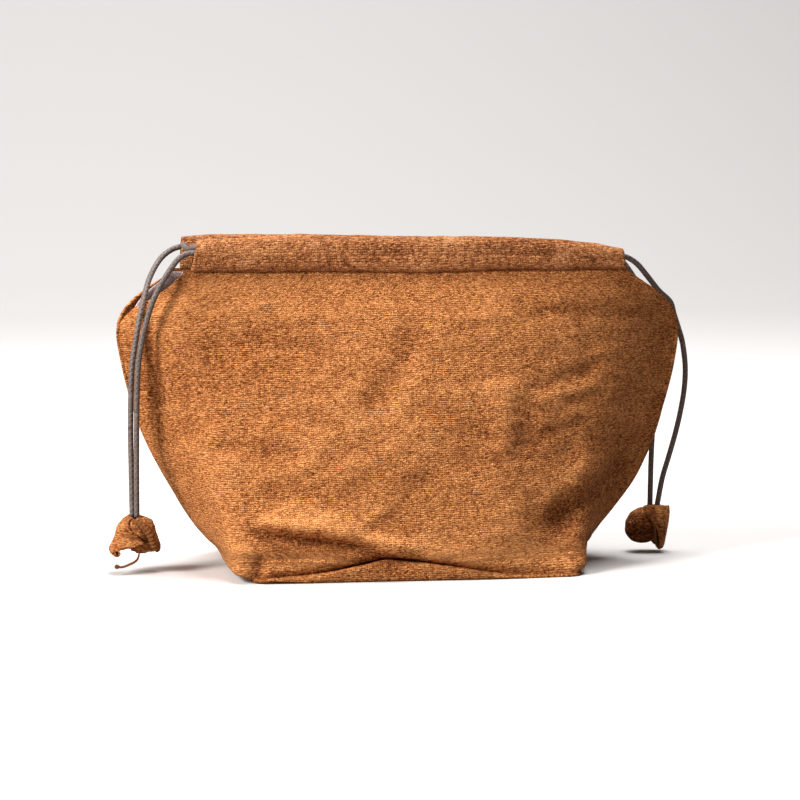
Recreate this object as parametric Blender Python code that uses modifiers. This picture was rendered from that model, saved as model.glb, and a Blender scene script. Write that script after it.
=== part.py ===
"""Drawstring storage bag for a tea set, in padded cotton and linen cloth.

The bag stands on a flat base with boxed corners. Its front and back walls are one width of cloth
each, sewn together down the sides, so the outline round the walls keeps the same length from the
base to the shoulders while the depth closes and the width grows. Above the side seams the two
faces are separate flaps, which fold towards each other and end in a sewn channel, the casing. Two
strings run in opposite loops through both casings. The tails of each leave on its own side, lie
over the shoulder and end in a knot inside a folded cover of the same cloth.

Lengths are in metres. X runs along the mouth, Y from the front to the back and Z up. The origin is
the middle of the base on the table.
"""
import math

import bmesh
import bpy
from mathutils import Vector

# Cloth layers, from the outside in
cloth_thickness = 0.0010
wadding_thickness = 0.0020
lining_thickness = 0.0006
layer_gap = 0.0003

# Body of the bag
base_width = 0.132
base_depth = 0.106
shoulder_height = 0.095
shoulder_depth = 0.030
side_reach = 0.018
side_swell = 0.010
face_bulge = 0.012
base_corner = 0.008
shoulder_corner = 0.009
bulge_length_share = 2 / 3

# Flaps and casings at the mouth
flap_height = 0.020
casing_length = 0.169
casing_height = 0.013
casing_depth = 0.008
casing_spread = 0.026
casing_foot_share = 0.44
flap_swell = 0.0015

# Strings
string_diameter = 0.0022
string_pitch = 0.0025
lower_run_drop = 0.0008

# Covers and knots on the string ends
cover_height = 0.0165
cover_top_radius = 0.0056
cover_hem_radius = 0.0098
cover_hole_radius = 0.0028
cover_fold_depth = 0.0009
cover_folds = 4
cover_fold_turn = math.radians(25)
knot_radius = 0.0042
knot_flat_share = 0.85

# Facets
side_columns = 3
corner_columns = 3
face_columns = 10
wall_rows = 8
flap_rows = 4
casing_sides = 20
cover_sides = 24
cover_rows = 6
string_step = 0.0055
string_resolution = 2

# Routes of the strings' tails, from the casing's end over the shoulder and down to the cover
left_front_upper = (
    (-0.0880, -0.0138, 0.1230), (-0.0910, -0.0150, 0.1200), (-0.0940, -0.0156, 0.1150),
    (-0.0964, -0.0160, 0.1095), (-0.0988, -0.0162, 0.1035), (-0.1009, -0.0158, 0.0965),
    (-0.1027, -0.0152, 0.0885), (-0.1039, -0.0147, 0.0800), (-0.1044, -0.0144, 0.0700),
    (-0.1046, -0.0143, 0.0622),
)
left_front_lower = (
    (-0.1046, -0.0143, 0.0618), (-0.1047, -0.0142, 0.0520), (-0.1048, -0.0141, 0.0370),
    (-0.1048, -0.0140, 0.0215),
)
left_back_upper = (
    (-0.0882, 0.0132, 0.1233), (-0.0930, 0.0110, 0.1221), (-0.0964, 0.0066, 0.1184),
    (-0.0990, 0.0010, 0.1130), (-0.1013, -0.0042, 0.1072), (-0.1036, -0.0086, 0.1012),
    (-0.1048, -0.0107, 0.0945), (-0.1055, -0.0112, 0.0870), (-0.1060, -0.0114, 0.0800),
    (-0.1065, -0.0115, 0.0700), (-0.1067, -0.0116, 0.0622),
)
left_back_lower = (
    (-0.1067, -0.0116, 0.0618), (-0.1068, -0.0116, 0.0520), (-0.1066, -0.0117, 0.0370),
    (-0.1064, -0.0119, 0.0215),
)
right_front_upper = (
    (0.0880, -0.0130, 0.1203), (0.0925, -0.0110, 0.1175), (0.0975, -0.0060, 0.1120),
    (0.1025, 0.0000, 0.1055), (0.1075, 0.0055, 0.1005), (0.1113, 0.0086, 0.0960),
    (0.1143, 0.0103, 0.0900), (0.1161, 0.0112, 0.0842),
)
right_front_lower = (
    (0.1162, 0.0112, 0.0838), (0.1174, 0.0120, 0.0750), (0.1172, 0.0126, 0.0660),
    (0.1158, 0.0132, 0.0565), (0.1138, 0.0136, 0.0475), (0.1113, 0.0139, 0.0385),
    (0.1087, 0.0140, 0.0295), (0.1066, 0.0141, 0.0180),
)
right_back_upper = (
    (0.0880, 0.0133, 0.1203), (0.0925, 0.0142, 0.1165), (0.0970, 0.0152, 0.1105),
    (0.1015, 0.0160, 0.1035), (0.1052, 0.0162, 0.0965), (0.1065, 0.0163, 0.0900),
    (0.1068, 0.0163, 0.0842),
)
right_back_lower = (
    (0.1068, 0.0163, 0.0838), (0.1065, 0.0163, 0.0750), (0.1057, 0.0162, 0.0600),
    (0.1050, 0.0161, 0.0470), (0.1045, 0.0160, 0.0350), (0.1042, 0.0160, 0.0180),
)
# Loop between the casings on the side away from a string's tails, as offsets from the casing end
loop_reach = 0.0066
loop_shoulder_reach = 0.0052
loop_shoulder_inset = 0.0030
exit_length = 0.0012

# Middles of the cloth covers' tops
left_cover_top = (-0.1056, -0.01295, 0.0225)
right_cover_top = (0.1054, 0.01505, 0.0190)

# Worked out from the sizes above
flat_half = (base_width + base_depth) / 2
inner_face = cloth_thickness + layer_gap
lining_face = inner_face + wadding_thickness + layer_gap
casing_foot = shoulder_height + flap_height
casing_middle = casing_foot + casing_height / 2
flap_stack = cloth_thickness + layer_gap + lining_thickness
string_radius = string_diameter / 2


def start_scene(name):
    """Empties the scene and returns a new collection for the bag."""
    for item in list(bpy.data.objects):
        bpy.data.objects.remove(item, do_unlink=True)
    collection = bpy.data.collections.new(name)
    bpy.context.scene.collection.children.link(collection)
    return collection


def make_material(name, color, roughness):
    """A plain material with one colour and roughness."""
    material = bpy.data.materials.new(name)
    material.use_nodes = True
    shader = material.node_tree.nodes["Principled BSDF"]
    shader.inputs["Base Color"].default_value = (*color, 1.0)
    shader.inputs["Roughness"].default_value = roughness
    shader.inputs["Metallic"].default_value = 0.0
    return material


def add_mesh(name, shape, material):
    """Makes an object from a bmesh, with outward faces and smooth shading."""
    bmesh.ops.recalc_face_normals(shape, faces=shape.faces[:])
    if shape.calc_volume(signed=True) < 0:
        bmesh.ops.reverse_faces(shape, faces=shape.faces[:])
    mesh = bpy.data.meshes.new(name)
    shape.to_mesh(mesh)
    shape.free()
    mesh.shade_smooth()
    mesh.set_sharp_from_angle(angle=math.radians(45))
    mesh.materials.append(material)
    piece = bpy.data.objects.new(name, mesh)
    bag.objects.link(piece)
    return piece


def bent_sheet(name, columns, rows, place, material):
    """A closed sheet of cloth: a flat slab whose points go where place(column, row, depth) says."""
    shape = bmesh.new()
    bmesh.ops.create_grid(shape, x_segments=columns, y_segments=rows, size=0.5)
    grown = bmesh.ops.extrude_face_region(shape, geom=shape.faces[:])
    inner = [item for item in grown["geom"] if isinstance(item, bmesh.types.BMVert)]
    bmesh.ops.translate(shape, verts=inner, vec=Vector((0, 0, 1)))
    for vert in shape.verts:
        column = round((vert.co.x + 0.5) * columns)
        row = round((vert.co.y + 0.5) * rows)
        vert.co = place(column, row, vert.co.z)
    return add_mesh(name, shape, material)


def wall_sizes(height):
    """Half the face, half the depth, the side's reach, the bulge and the corner at a height."""
    rise = height / shoulder_height
    curve = math.sin(rise * math.pi / 2)
    half_depth = (base_depth + (shoulder_depth - base_depth) * rise) / 2
    reach = side_reach * curve + side_swell * math.sin(rise * math.pi)
    bulge = face_bulge * curve
    half_face = flat_half - math.hypot(half_depth, reach)
    half_face -= bulge_length_share * bulge ** 2 / half_face
    corner = base_corner + (shoulder_corner - base_corner) * rise
    return half_face, half_depth, reach, bulge, corner


def right_outline(height):
    """Outer points of the wall's right front quarter, from the middle to the side seam."""
    half_face, half_depth, reach, bulge, corner_cut = wall_sizes(height)
    corner = Vector((half_face, -half_depth))
    seam = Vector((half_face + reach, 0))
    side_start = corner + (seam - corner).normalized() * corner_cut
    points = []
    half_columns = face_columns // 2
    for step in range(half_columns + 1):
        x = (half_face - corner_cut) * step / half_columns
        points.append(Vector((x, -half_depth - bulge * (1 - (x / half_face) ** 2))))
    face_end = points[-1]
    for step in range(1, corner_columns + 1):
        share = step / corner_columns
        bend_in = face_end.lerp(corner, share)
        bend_out = corner.lerp(side_start, share)
        points.append(bend_in.lerp(bend_out, share))
    for step in range(1, side_columns + 1):
        points.append(side_start.lerp(seam, step / side_columns))
    return points


def front_outline(height, inset):
    """Points of the front wall at a height, seam to seam, set in from the outer face."""
    right = right_outline(height)
    points = [Vector((-point.x, point.y)) for point in reversed(right[1:])] + right
    inner = []
    for index, point in enumerate(points):
        before = points[max(index - 1, 0)]
        after = points[min(index + 1, len(points) - 1)]
        along = (after - before).normalized()
        inward = Vector((-along.y, along.x))
        if before is point or after is point:
            inner.append(Vector((point.x + inset / inward.x, -layer_gap / 2)))
        else:
            inner.append(point + inward * inset)
    last = len(inner) - 1
    for step in range(1, side_columns):
        share = step / side_columns
        inner[step] = inner[0].lerp(inner[side_columns], share)
        inner[last - step] = inner[last].lerp(inner[last - side_columns], share)
    return inner


def wall_outline(height, inset):
    """The front wall's outline at a height, straight between the rows that all its layers share."""
    row_height = shoulder_height / wall_rows
    row = min(int(height / row_height), wall_rows - 1)
    share = height / row_height - row
    low = front_outline(row * row_height, inset)
    high = front_outline((row + 1) * row_height, inset)
    return [below.lerp(above, share) for below, above in zip(low, high)]


def wall_sheet(name, face, thickness, foot, side, material):
    """One layer of a wall, from its foot to the shoulders. Side is 1 in front and -1 behind."""
    def place(column, row, depth):
        height = max(foot, shoulder_height * row / wall_rows)
        point = wall_outline(height, face + thickness * depth)[column]
        return Vector((point.x, side * point.y, height))

    return bent_sheet(name, wall_columns, wall_rows, place, material)


def flap_sheet(name, face, top_face, thickness, side, material):
    """One layer of a flap, from the shoulders to the foot of its casing."""
    foot = shoulder_height + layer_gap
    top = casing_foot - layer_gap
    half_seam = wall_sizes(shoulder_height)[0] + side_reach
    outer_y = -(casing_spread + flap_stack) / 2

    def place(column, row, depth):
        rise = row / flap_rows
        low = front_outline(shoulder_height, face + thickness * depth)[column]
        low_outer = front_outline(shoulder_height, 0)[column]
        high_x = low_outer.x * casing_length / (2 * half_seam)
        high_y = outer_y + top_face + thickness * depth
        x = low.x + (high_x - low.x) * rise
        swell = flap_swell * math.sin(math.pi * rise)
        y = low.y + (high_y - low.y) * rise - swell
        return Vector((x, side * y, foot + (top - foot) * rise))

    return bent_sheet(name, wall_columns, flap_rows, place, material)


def base_sheet(name, inset, bottom, thickness, material):
    """One flat layer of the base, as large as the leaning walls leave room for."""
    outline = []
    low = wall_outline(bottom, inset)
    high = wall_outline(bottom + thickness, inset)
    for below, above in zip(low, high):
        x = math.copysign(min(abs(below.x), abs(above.x)), below.x)
        outline.append(Vector((x, max(below.y, above.y))))
    front = outline[:]
    outline += [Vector((point.x, -point.y)) for point in reversed(front)]
    curve = bpy.data.curves.new(name, "CURVE")
    curve.dimensions = "2D"
    curve.fill_mode = "BOTH"
    curve.extrude = thickness / 2
    spline = curve.splines.new("POLY")
    spline.points.add(len(outline) - 1)
    for spot, point in zip(spline.points, outline):
        spot.co = (point.x, point.y, 0, 1)
    spline.use_cyclic_u = True
    curve.materials.append(material)
    piece = bpy.data.objects.new(name, curve)
    piece.location = (0, 0, bottom + thickness / 2)
    bag.objects.link(piece)
    return piece


def casing_tube(name, side, material):
    """The sewn channel at a flap's top: an oval tube with a narrow foot, open at both ends."""
    shape = bmesh.new()
    bmesh.ops.create_circle(shape, segments=casing_sides, radius=1)
    for vert in shape.verts:
        across, up = vert.co.x, vert.co.y
        width_share = (1 + casing_foot_share) / 2 + (1 - casing_foot_share) / 2 * up
        y = -side * casing_spread / 2 + casing_depth / 2 * across * width_share
        vert.co = Vector((-casing_length / 2, y, casing_middle + casing_height / 2 * up))
    grown = bmesh.ops.extrude_edge_only(shape, edges=shape.edges[:])
    far = [item for item in grown["geom"] if isinstance(item, bmesh.types.BMVert)]
    bmesh.ops.translate(shape, verts=far, vec=Vector((casing_length, 0, 0)))
    piece = add_mesh(name, shape, material)
    wall = piece.modifiers.new("cloth", "SOLIDIFY")
    wall.thickness = cloth_thickness
    wall.offset = -1
    wall.use_even_offset = True
    return piece


def smooth_route(route):
    """Evenly spaced points along a smooth curve through the route's own points."""
    points = [Vector(point) for point in route]
    padded = [points[0] * 2 - points[1]] + points + [points[-1] * 2 - points[-2]]
    dense = []
    samples = 24
    for first, second, third, fourth in zip(padded, padded[1:], padded[2:], padded[3:]):
        for step in range(samples):
            t = step / samples
            bend = (first * -1 + second * 3 - third * 3 + fourth) * t ** 3
            bend += (first * 2 - second * 5 + third * 4 - fourth) * t ** 2
            bend += (third - first) * t
            dense.append(second + bend / 2)
    dense.append(points[-1])
    lengths = [0]
    for start, end in zip(dense, dense[1:]):
        lengths.append(lengths[-1] + (end - start).length)
    count = max(2, round(lengths[-1] / string_step))
    even = []
    index = 0
    for step in range(count + 1):
        target = lengths[-1] * step / count
        while index < len(lengths) - 2 and lengths[index + 1] < target:
            index += 1
        share = (target - lengths[index]) / (lengths[index + 1] - lengths[index])
        even.append(dense[index].lerp(dense[index + 1], share))
    return even


def string_piece(name, points, material):
    """A length of string: a round tube along its points, with closed ends."""
    curve = bpy.data.curves.new(name, "CURVE")
    curve.dimensions = "3D"
    curve.bevel_depth = string_radius
    curve.bevel_resolution = string_resolution
    curve.use_fill_caps = True
    spline = curve.splines.new("POLY")
    spline.points.add(len(points) - 1)
    for spot, point in zip(spline.points, points):
        spot.co = (*point, 1)
    curve.materials.append(material)
    piece = bpy.data.objects.new(name, curve)
    bag.objects.link(piece)
    return piece


def shortened(points):
    """The same route with its last end drawn back by the gap that touching ends keep."""
    end = points[-1] - (points[-1] - points[-2]).normalized() * layer_gap
    return points[:-1] + [end]


def casing_ends(direction, height):
    """The front and back points where strings leave the casings, left or right."""
    x = direction * (casing_length / 2 + layer_gap)
    return Vector((x, -casing_spread / 2, height)), Vector((x, casing_spread / 2, height))


def string_parts(label, direction, run_height, routes, material):
    """All lengths of one string, whose tails leave on the side that direction gives."""
    half = casing_length / 2
    for place, y in (("front", -casing_spread / 2), ("back", casing_spread / 2)):
        run = [Vector((-half, y, run_height)), Vector((half, y, run_height))]
        string_piece(f"{label}_string_{place}_run", run, material)

    front, back = casing_ends(-direction, run_height)
    out = Vector((-direction, 0, 0))
    inset = Vector((0, loop_shoulder_inset, 0))
    middle = (front + back) / 2
    loop = smooth_route((
        front + out * exit_length,
        front + out * loop_shoulder_reach + inset,
        middle + out * loop_reach,
        back + out * loop_shoulder_reach - inset,
        back + out * exit_length,
    ))
    string_piece(f"{label}_string_loop", [front, *loop, back], material)

    front, back = casing_ends(direction, run_height)
    for place, exit_point in (("front", front), ("back", back)):
        straight = exit_point - out * exit_length
        upper = [exit_point, *smooth_route((straight, *routes[f"{place}_upper"]))]
        lower = smooth_route(routes[f"{place}_lower"])
        string_piece(f"{label}_string_{place}_shoulder", shortened(upper), material)
        string_piece(f"{label}_string_{place}_tail", lower, material)


def string_cover(name, top, material):
    """The folded cloth cover on a pair of string ends, open below, with a hole in its crown."""
    def place(column, row, depth):
        drop = row / cover_rows
        angle = 2 * math.pi * column / cover_sides
        flare = math.sin(drop * math.pi / 2)
        radius = cover_top_radius + (cover_hem_radius - cover_top_radius) * flare
        radius -= cover_fold_depth * drop * math.cos(cover_folds * (angle - cover_fold_turn))
        radius -= cloth_thickness * depth
        height = top[2] - cover_height * drop
        return Vector((top[0] + radius * math.cos(angle), top[1] + radius * math.sin(angle), height))

    shape = bmesh.new()
    rings = []
    for depth in (0, 1):
        for row in range(cover_rows + 1):
            ring = [shape.verts.new(place(column, row, depth)) for column in range(cover_sides)]
            rings.append(ring)
    outer = rings[:cover_rows + 1]
    inner = rings[cover_rows + 1:]
    for vert in inner[0]:
        vert.co.z -= cloth_thickness
    hole_top = []
    hole_foot = []
    for column in range(cover_sides):
        angle = 2 * math.pi * column / cover_sides
        x = top[0] + cover_hole_radius * math.cos(angle)
        y = top[1] + cover_hole_radius * math.sin(angle)
        hole_top.append(shape.verts.new((x, y, top[2])))
        hole_foot.append(shape.verts.new((x, y, top[2] - cloth_thickness)))
    path = [hole_foot, hole_top] + outer + inner[::-1]
    for near, far in zip(path, path[1:] + path[:1]):
        for column in range(cover_sides):
            turn = (column + 1) % cover_sides
            shape.faces.new((near[column], near[turn], far[turn], far[column]))
    return add_mesh(name, shape, material)


def string_knot(name, cover_top, material):
    """The knot that stops a cover from sliding off: a flattened ball just under its crown."""
    shape = bmesh.new()
    bmesh.ops.create_uvsphere(shape, u_segments=16, v_segments=10, radius=knot_radius)
    bmesh.ops.scale(shape, verts=shape.verts[:], vec=Vector((1, 1, knot_flat_share)))
    drop = cloth_thickness + layer_gap + knot_radius * knot_flat_share
    middle = Vector(cover_top) - Vector((0, 0, drop))
    bmesh.ops.translate(shape, verts=shape.verts[:], vec=middle)
    return add_mesh(name, shape, material)


def body_layers(materials):
    """The outer cloth, the wadding and the lining of the body."""
    wadding_foot = inner_face
    lining_foot = lining_face
    base_sheet("base_panel", 0, 0, cloth_thickness, materials["cloth"])
    base_sheet("base_wadding", inner_face, wadding_foot, wadding_thickness, materials["wadding"])
    base_sheet("base_lining", lining_face, lining_foot, lining_thickness, materials["lining"])
    for place, side in (("front", 1), ("back", -1)):
        wall_sheet(f"{place}_panel", 0, cloth_thickness, cloth_thickness + layer_gap,
                   side, materials["cloth"])
        wall_sheet(f"{place}_wadding", inner_face, wadding_thickness,
                   wadding_foot + wadding_thickness + layer_gap, side, materials["wadding"])
        wall_sheet(f"{place}_lining", lining_face, lining_thickness,
                   lining_foot + lining_thickness + layer_gap, side, materials["lining"])


def mouth_flaps(materials):
    """The flaps above the shoulders, with their lining and their casings."""
    for place, side in (("front", 1), ("back", -1)):
        flap_sheet(f"{place}_flap", 0, 0, cloth_thickness, side, materials["cloth"])
        flap_sheet(f"{place}_flap_lining", lining_face, inner_face, lining_thickness,
                   side, materials["lining"])
        casing_tube(f"{place}_casing", side, materials["cloth"])


def strings(materials):
    """Both strings, with the covers and knots on their tails."""
    lower_height = casing_middle - lower_run_drop
    upper_height = lower_height + string_pitch
    left_routes = {
        "front_upper": left_front_upper, "front_lower": left_front_lower,
        "back_upper": left_back_upper, "back_lower": left_back_lower,
    }
    right_routes = {
        "front_upper": right_front_upper, "front_lower": right_front_lower,
        "back_upper": right_back_upper, "back_lower": right_back_lower,
    }
    string_parts("left", -1, upper_height, left_routes, materials["string"])
    string_parts("right", 1, lower_height, right_routes, materials["string"])
    for label, top in (("left", left_cover_top), ("right", right_cover_top)):
        string_cover(f"{label}_string_cover", top, materials["cloth"])
        string_knot(f"{label}_string_knot", top, materials["string"])


wall_columns = 2 * (side_columns + corner_columns) + face_columns
bag = start_scene("tea_set_storage_bag")
finishes = {
    "cloth": make_material("rust_cloth", (0.42, 0.15, 0.05), 0.95),
    "lining": make_material("lilac_lining", (0.36, 0.27, 0.28), 0.9),
    "wadding": make_material("white_wadding", (0.78, 0.76, 0.72), 1.0),
    "string": make_material("grey_string", (0.12, 0.09, 0.085), 0.7),
}
body_layers(finishes)
mouth_flaps(finishes)
strings(finishes)
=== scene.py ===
import math

import bmesh
import bpy
import numpy as np
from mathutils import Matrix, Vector


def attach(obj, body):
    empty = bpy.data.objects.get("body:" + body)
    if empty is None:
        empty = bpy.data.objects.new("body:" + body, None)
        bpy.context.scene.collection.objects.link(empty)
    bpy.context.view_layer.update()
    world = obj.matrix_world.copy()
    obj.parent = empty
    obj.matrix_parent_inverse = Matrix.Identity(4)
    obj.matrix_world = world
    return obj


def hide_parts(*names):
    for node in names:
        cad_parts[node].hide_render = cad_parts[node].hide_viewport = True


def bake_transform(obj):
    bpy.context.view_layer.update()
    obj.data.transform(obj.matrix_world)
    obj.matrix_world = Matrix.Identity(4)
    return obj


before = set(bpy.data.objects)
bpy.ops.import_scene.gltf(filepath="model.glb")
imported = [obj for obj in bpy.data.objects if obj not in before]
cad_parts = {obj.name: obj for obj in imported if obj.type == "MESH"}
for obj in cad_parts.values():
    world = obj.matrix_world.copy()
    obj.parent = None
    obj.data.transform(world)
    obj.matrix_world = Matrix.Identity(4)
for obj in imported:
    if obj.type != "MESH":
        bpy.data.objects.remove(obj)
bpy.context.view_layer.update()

# Sizes of the bag, as its solids have them
cloth_thickness = 0.0010
lining_thickness = 0.0006
wadding_thickness = 0.0018
base_width = 0.132
base_depth = 0.106
shoulder_height = 0.095
shoulder_depth = 0.030
side_reach = 0.018
side_swell = 0.010
face_bulge = 0.012
base_corner = 0.008
shoulder_corner = 0.009
bulge_length_share = 2 / 3
flap_height = 0.020
flap_swell = 0.0015
flap_foot_depth = 0.0139
casing_half = 0.0845
casing_spread = 0.026
wadding_face = 0.0013
lining_face = 0.0036
flat_half = (base_width + base_depth) / 2
casing_foot = shoulder_height + flap_height
casing_gap = 0.0003

# Strings
string_diameter = 0.0022
string_sides = 12
upper_run = 0.1232
lower_run = 0.1207

# Routes of the strings' tails, from the casing's end over the shoulder and down to the cover
left_front_upper = (
    (-0.0848, -0.0130, 0.1232), (-0.0880, -0.0138, 0.1230), (-0.0910, -0.0150, 0.1200),
    (-0.0940, -0.0156, 0.1150), (-0.0964, -0.0160, 0.1095), (-0.0988, -0.0162, 0.1035),
    (-0.1009, -0.0158, 0.0965), (-0.1027, -0.0152, 0.0885), (-0.1039, -0.0147, 0.0800),
    (-0.1044, -0.0144, 0.0700), (-0.1046, -0.0143, 0.0622),
)
left_front_lower = (
    (-0.1046, -0.0143, 0.0618), (-0.1047, -0.0142, 0.0520), (-0.1048, -0.0141, 0.0370),
    (-0.1048, -0.0140, 0.0215),
)
left_back_upper = (
    (-0.0848, 0.0130, 0.1232), (-0.0882, 0.0132, 0.1233), (-0.0930, 0.0110, 0.1221),
    (-0.0964, 0.0066, 0.1184), (-0.0990, 0.0010, 0.1130), (-0.1013, -0.0042, 0.1072),
    (-0.1036, -0.0086, 0.1012), (-0.1048, -0.0107, 0.0945), (-0.1055, -0.0112, 0.0870),
    (-0.1060, -0.0114, 0.0800), (-0.1065, -0.0115, 0.0700), (-0.1067, -0.0116, 0.0622),
)
left_back_lower = (
    (-0.1067, -0.0116, 0.0618), (-0.1068, -0.0116, 0.0520), (-0.1066, -0.0117, 0.0370),
    (-0.1064, -0.0119, 0.0215),
)
right_front_upper = (
    (0.0848, -0.0130, 0.1207), (0.0880, -0.0130, 0.1203), (0.0925, -0.0110, 0.1175),
    (0.0975, -0.0060, 0.1120), (0.1025, 0.0000, 0.1055), (0.1075, 0.0055, 0.1005),
    (0.1113, 0.0086, 0.0960), (0.1143, 0.0103, 0.0900), (0.1161, 0.0112, 0.0842),
)
right_front_lower = (
    (0.1162, 0.0112, 0.0838), (0.1174, 0.0120, 0.0750), (0.1172, 0.0126, 0.0660),
    (0.1158, 0.0132, 0.0565), (0.1138, 0.0136, 0.0475), (0.1113, 0.0139, 0.0385),
    (0.1087, 0.0140, 0.0295), (0.1066, 0.0141, 0.0180),
)
right_back_upper = (
    (0.0848, 0.0130, 0.1207), (0.0880, 0.0133, 0.1203), (0.0925, 0.0142, 0.1165),
    (0.0970, 0.0152, 0.1105), (0.1015, 0.0160, 0.1035), (0.1052, 0.0162, 0.0965),
    (0.1065, 0.0163, 0.0900), (0.1068, 0.0163, 0.0842),
)
right_back_lower = (
    (0.1068, 0.0163, 0.0838), (0.1065, 0.0163, 0.0750), (0.1057, 0.0162, 0.0600),
    (0.1050, 0.0161, 0.0470), (0.1045, 0.0160, 0.0350), (0.1042, 0.0160, 0.0180),
)
# How the strings have settled at each point of their shoulder routes, beside the solids' routes
left_front_settled = ((0.0, 0.0, -0.0002), (0.0, 0.0, -0.0018), (0.0, 0.0, -0.0023), (0.0, 0.0, -0.0017),
                      (0.0, 0.0, -0.0004))
left_back_settled = (
    (0.0004, 0.0, 0.0014), (0.0, -0.0008, 0.0002), (0.0010, -0.0010, -0.0010), (0.0012, 0.0, -0.0009),
    (0.0007, 0.0, -0.0006), (0.0007, -0.0002, -0.0009), (0.0012, -0.0002, -0.0008), (0.0012, 0.0002, 0.0),
    (0.0006, 0.0003, 0.0),
)
right_front_settled = ((0.0, 0.0, 0.0), (0.0, 0.0, 0.0), (0.0, 0.0, 0.0), (0.0003, 0.0, 0.0003),
                       (0.0010, 0.0, 0.0010), (0.0021, 0.0, 0.0009), (0.0006, 0.0, 0.0002))
left_cover_top = Vector((-0.1056, -0.01295, 0.0225))
right_cover_top = Vector((0.1054, 0.01505, 0.0190))


# Camera, lights and floor

camera_target = (0, 0, 0.0642)
camera_distance = 1.4
camera_turn = math.radians(-8.5)
camera_lift = math.radians(5.5)
floor_half = 4.0
floor_rows = 48
bend_start = 1.3
bend_radius = 1.2


def aim(thing, place, target):
    """Puts a camera or lamp at a place and turns it to a target."""
    thing.location = place
    thing.rotation_euler = (Vector(target) - Vector(place)).to_track_quat("-Z", "Y").to_euler()
    bpy.context.scene.collection.objects.link(thing)


def make_camera():
    """A long lens, a little left of the front and a little above the mouth."""
    level = math.cos(camera_lift)
    away = Vector((math.sin(camera_turn) * level, -math.cos(camera_turn) * level, math.sin(camera_lift)))
    data = bpy.data.cameras.new("camera")
    data.sensor_width = 36.0
    data.lens = 160.3
    data.clip_start = 0.05
    data.clip_end = 40.0
    camera = bpy.data.objects.new("camera", data)
    target = Vector(camera_target)
    aim(camera, target + away * camera_distance, target)
    bpy.context.scene.camera = camera


def make_lamp(name, place, target, size, power, color):
    """A square soft lamp."""
    data = bpy.data.lights.new(name, "AREA")
    data.shape = "SQUARE"
    data.size = size
    data.energy = power
    data.color = color
    aim(bpy.data.objects.new(name, data), place, target)


def feed(tree, value, socket):
    """Gives a socket a link or a plain value."""
    if isinstance(value, bpy.types.NodeSocket):
        tree.links.new(value, socket)
    else:
        socket.default_value = value


def feed_all(tree, node, inputs):
    """Feeds a node's inputs, which are given by name or by number."""
    for socket, value in inputs.items():
        feed(tree, value, node.inputs[socket])


def add_node(tree, kind, inputs, **settings):
    """A shader node with its settings made and its inputs fed."""
    node = tree.nodes.new(f"ShaderNode{kind}")
    for name, value in settings.items():
        setattr(node, name, value)
    feed_all(tree, node, inputs)
    return node


def color_mix(tree, share, first, second):
    """Two colours mixed by a share."""
    return add_node(tree, "Mix", {"Factor": share, "A": first, "B": second}, data_type="RGBA").outputs["Result"]


def camera_ray(tree):
    """1 where the camera sees a surface directly, 0 for the light that it throws elsewhere."""
    return add_node(tree, "LightPath", {}).outputs["Is Camera Ray"]


def new_material(name):
    """A material with its node tree and shader."""
    material = bpy.data.materials.new(name)
    material.use_nodes = True
    return material, material.node_tree, material.node_tree.nodes["Principled BSDF"]


def make_world(scene):
    """A dim warm light from all round, and a pale grey where the camera sees past the floor."""
    scene.world = bpy.data.worlds.new("studio")
    scene.world.use_nodes = True
    tree = scene.world.node_tree
    soft = tree.nodes["Background"]
    feed_all(tree, soft, {"Color": (1.0, 0.91, 0.84, 1.0), "Strength": 0.10})
    seen = add_node(tree, "Background", {"Color": (0.80, 0.81, 0.82, 1.0), "Strength": 1.0})
    mix = add_node(tree, "MixShader", {"Fac": camera_ray(tree), 1: soft.outputs["Background"],
                                       2: seen.outputs["Background"]})
    tree.links.new(mix.outputs["Shader"], tree.nodes["World Output"].inputs["Surface"])


def make_floor(scene):
    """A floor that bends up behind the bag. The camera sees it paler than it lights the bag."""
    shape = bmesh.new()
    bmesh.ops.create_grid(shape, x_segments=1, y_segments=floor_rows, size=floor_half)
    for vert in shape.verts:
        beyond = max(0.0, vert.co.y - bend_start)
        turn = min(beyond / bend_radius, math.pi / 2)
        if beyond:
            vert.co.y = bend_start + bend_radius * math.sin(turn)
            vert.co.z = bend_radius * (1 - math.cos(turn)) + max(0.0, beyond - bend_radius * math.pi / 2)
    mesh = bpy.data.meshes.new("floor")
    shape.to_mesh(mesh)
    shape.free()
    mesh.shade_smooth()
    floor = bpy.data.objects.new("floor", mesh)
    scene.collection.objects.link(floor)
    pale, tree, shader = new_material("pale_floor")
    shade = color_mix(tree, camera_ray(tree), (0.26, 0.235, 0.22, 1.0), (0.72, 0.72, 0.73, 1.0))
    feed_all(tree, shader, {"Base Color": shade, "Roughness": 0.8})
    mesh.materials.append(pale)


make_camera()
bpy.context.scene.view_settings.view_transform = "Standard"
make_world(bpy.context.scene)
make_floor(bpy.context.scene)
make_lamp("key", (-1.12, -0.60, 0.82), (0, 0, 0.06), 0.50, 33.0, (1.0, 0.95, 0.90))
make_lamp("fill", (0.16, 0.10, 1.50), (0.02, 0, 0.09), 0.8, 24.0, (1.0, 0.965, 0.93))
make_lamp("backdrop", (0.0, 0.75, 1.6), (0, 1.9, 0.2), 1.2, 22.0, (1.0, 0.99, 0.98))


# Shader node groups

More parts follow.
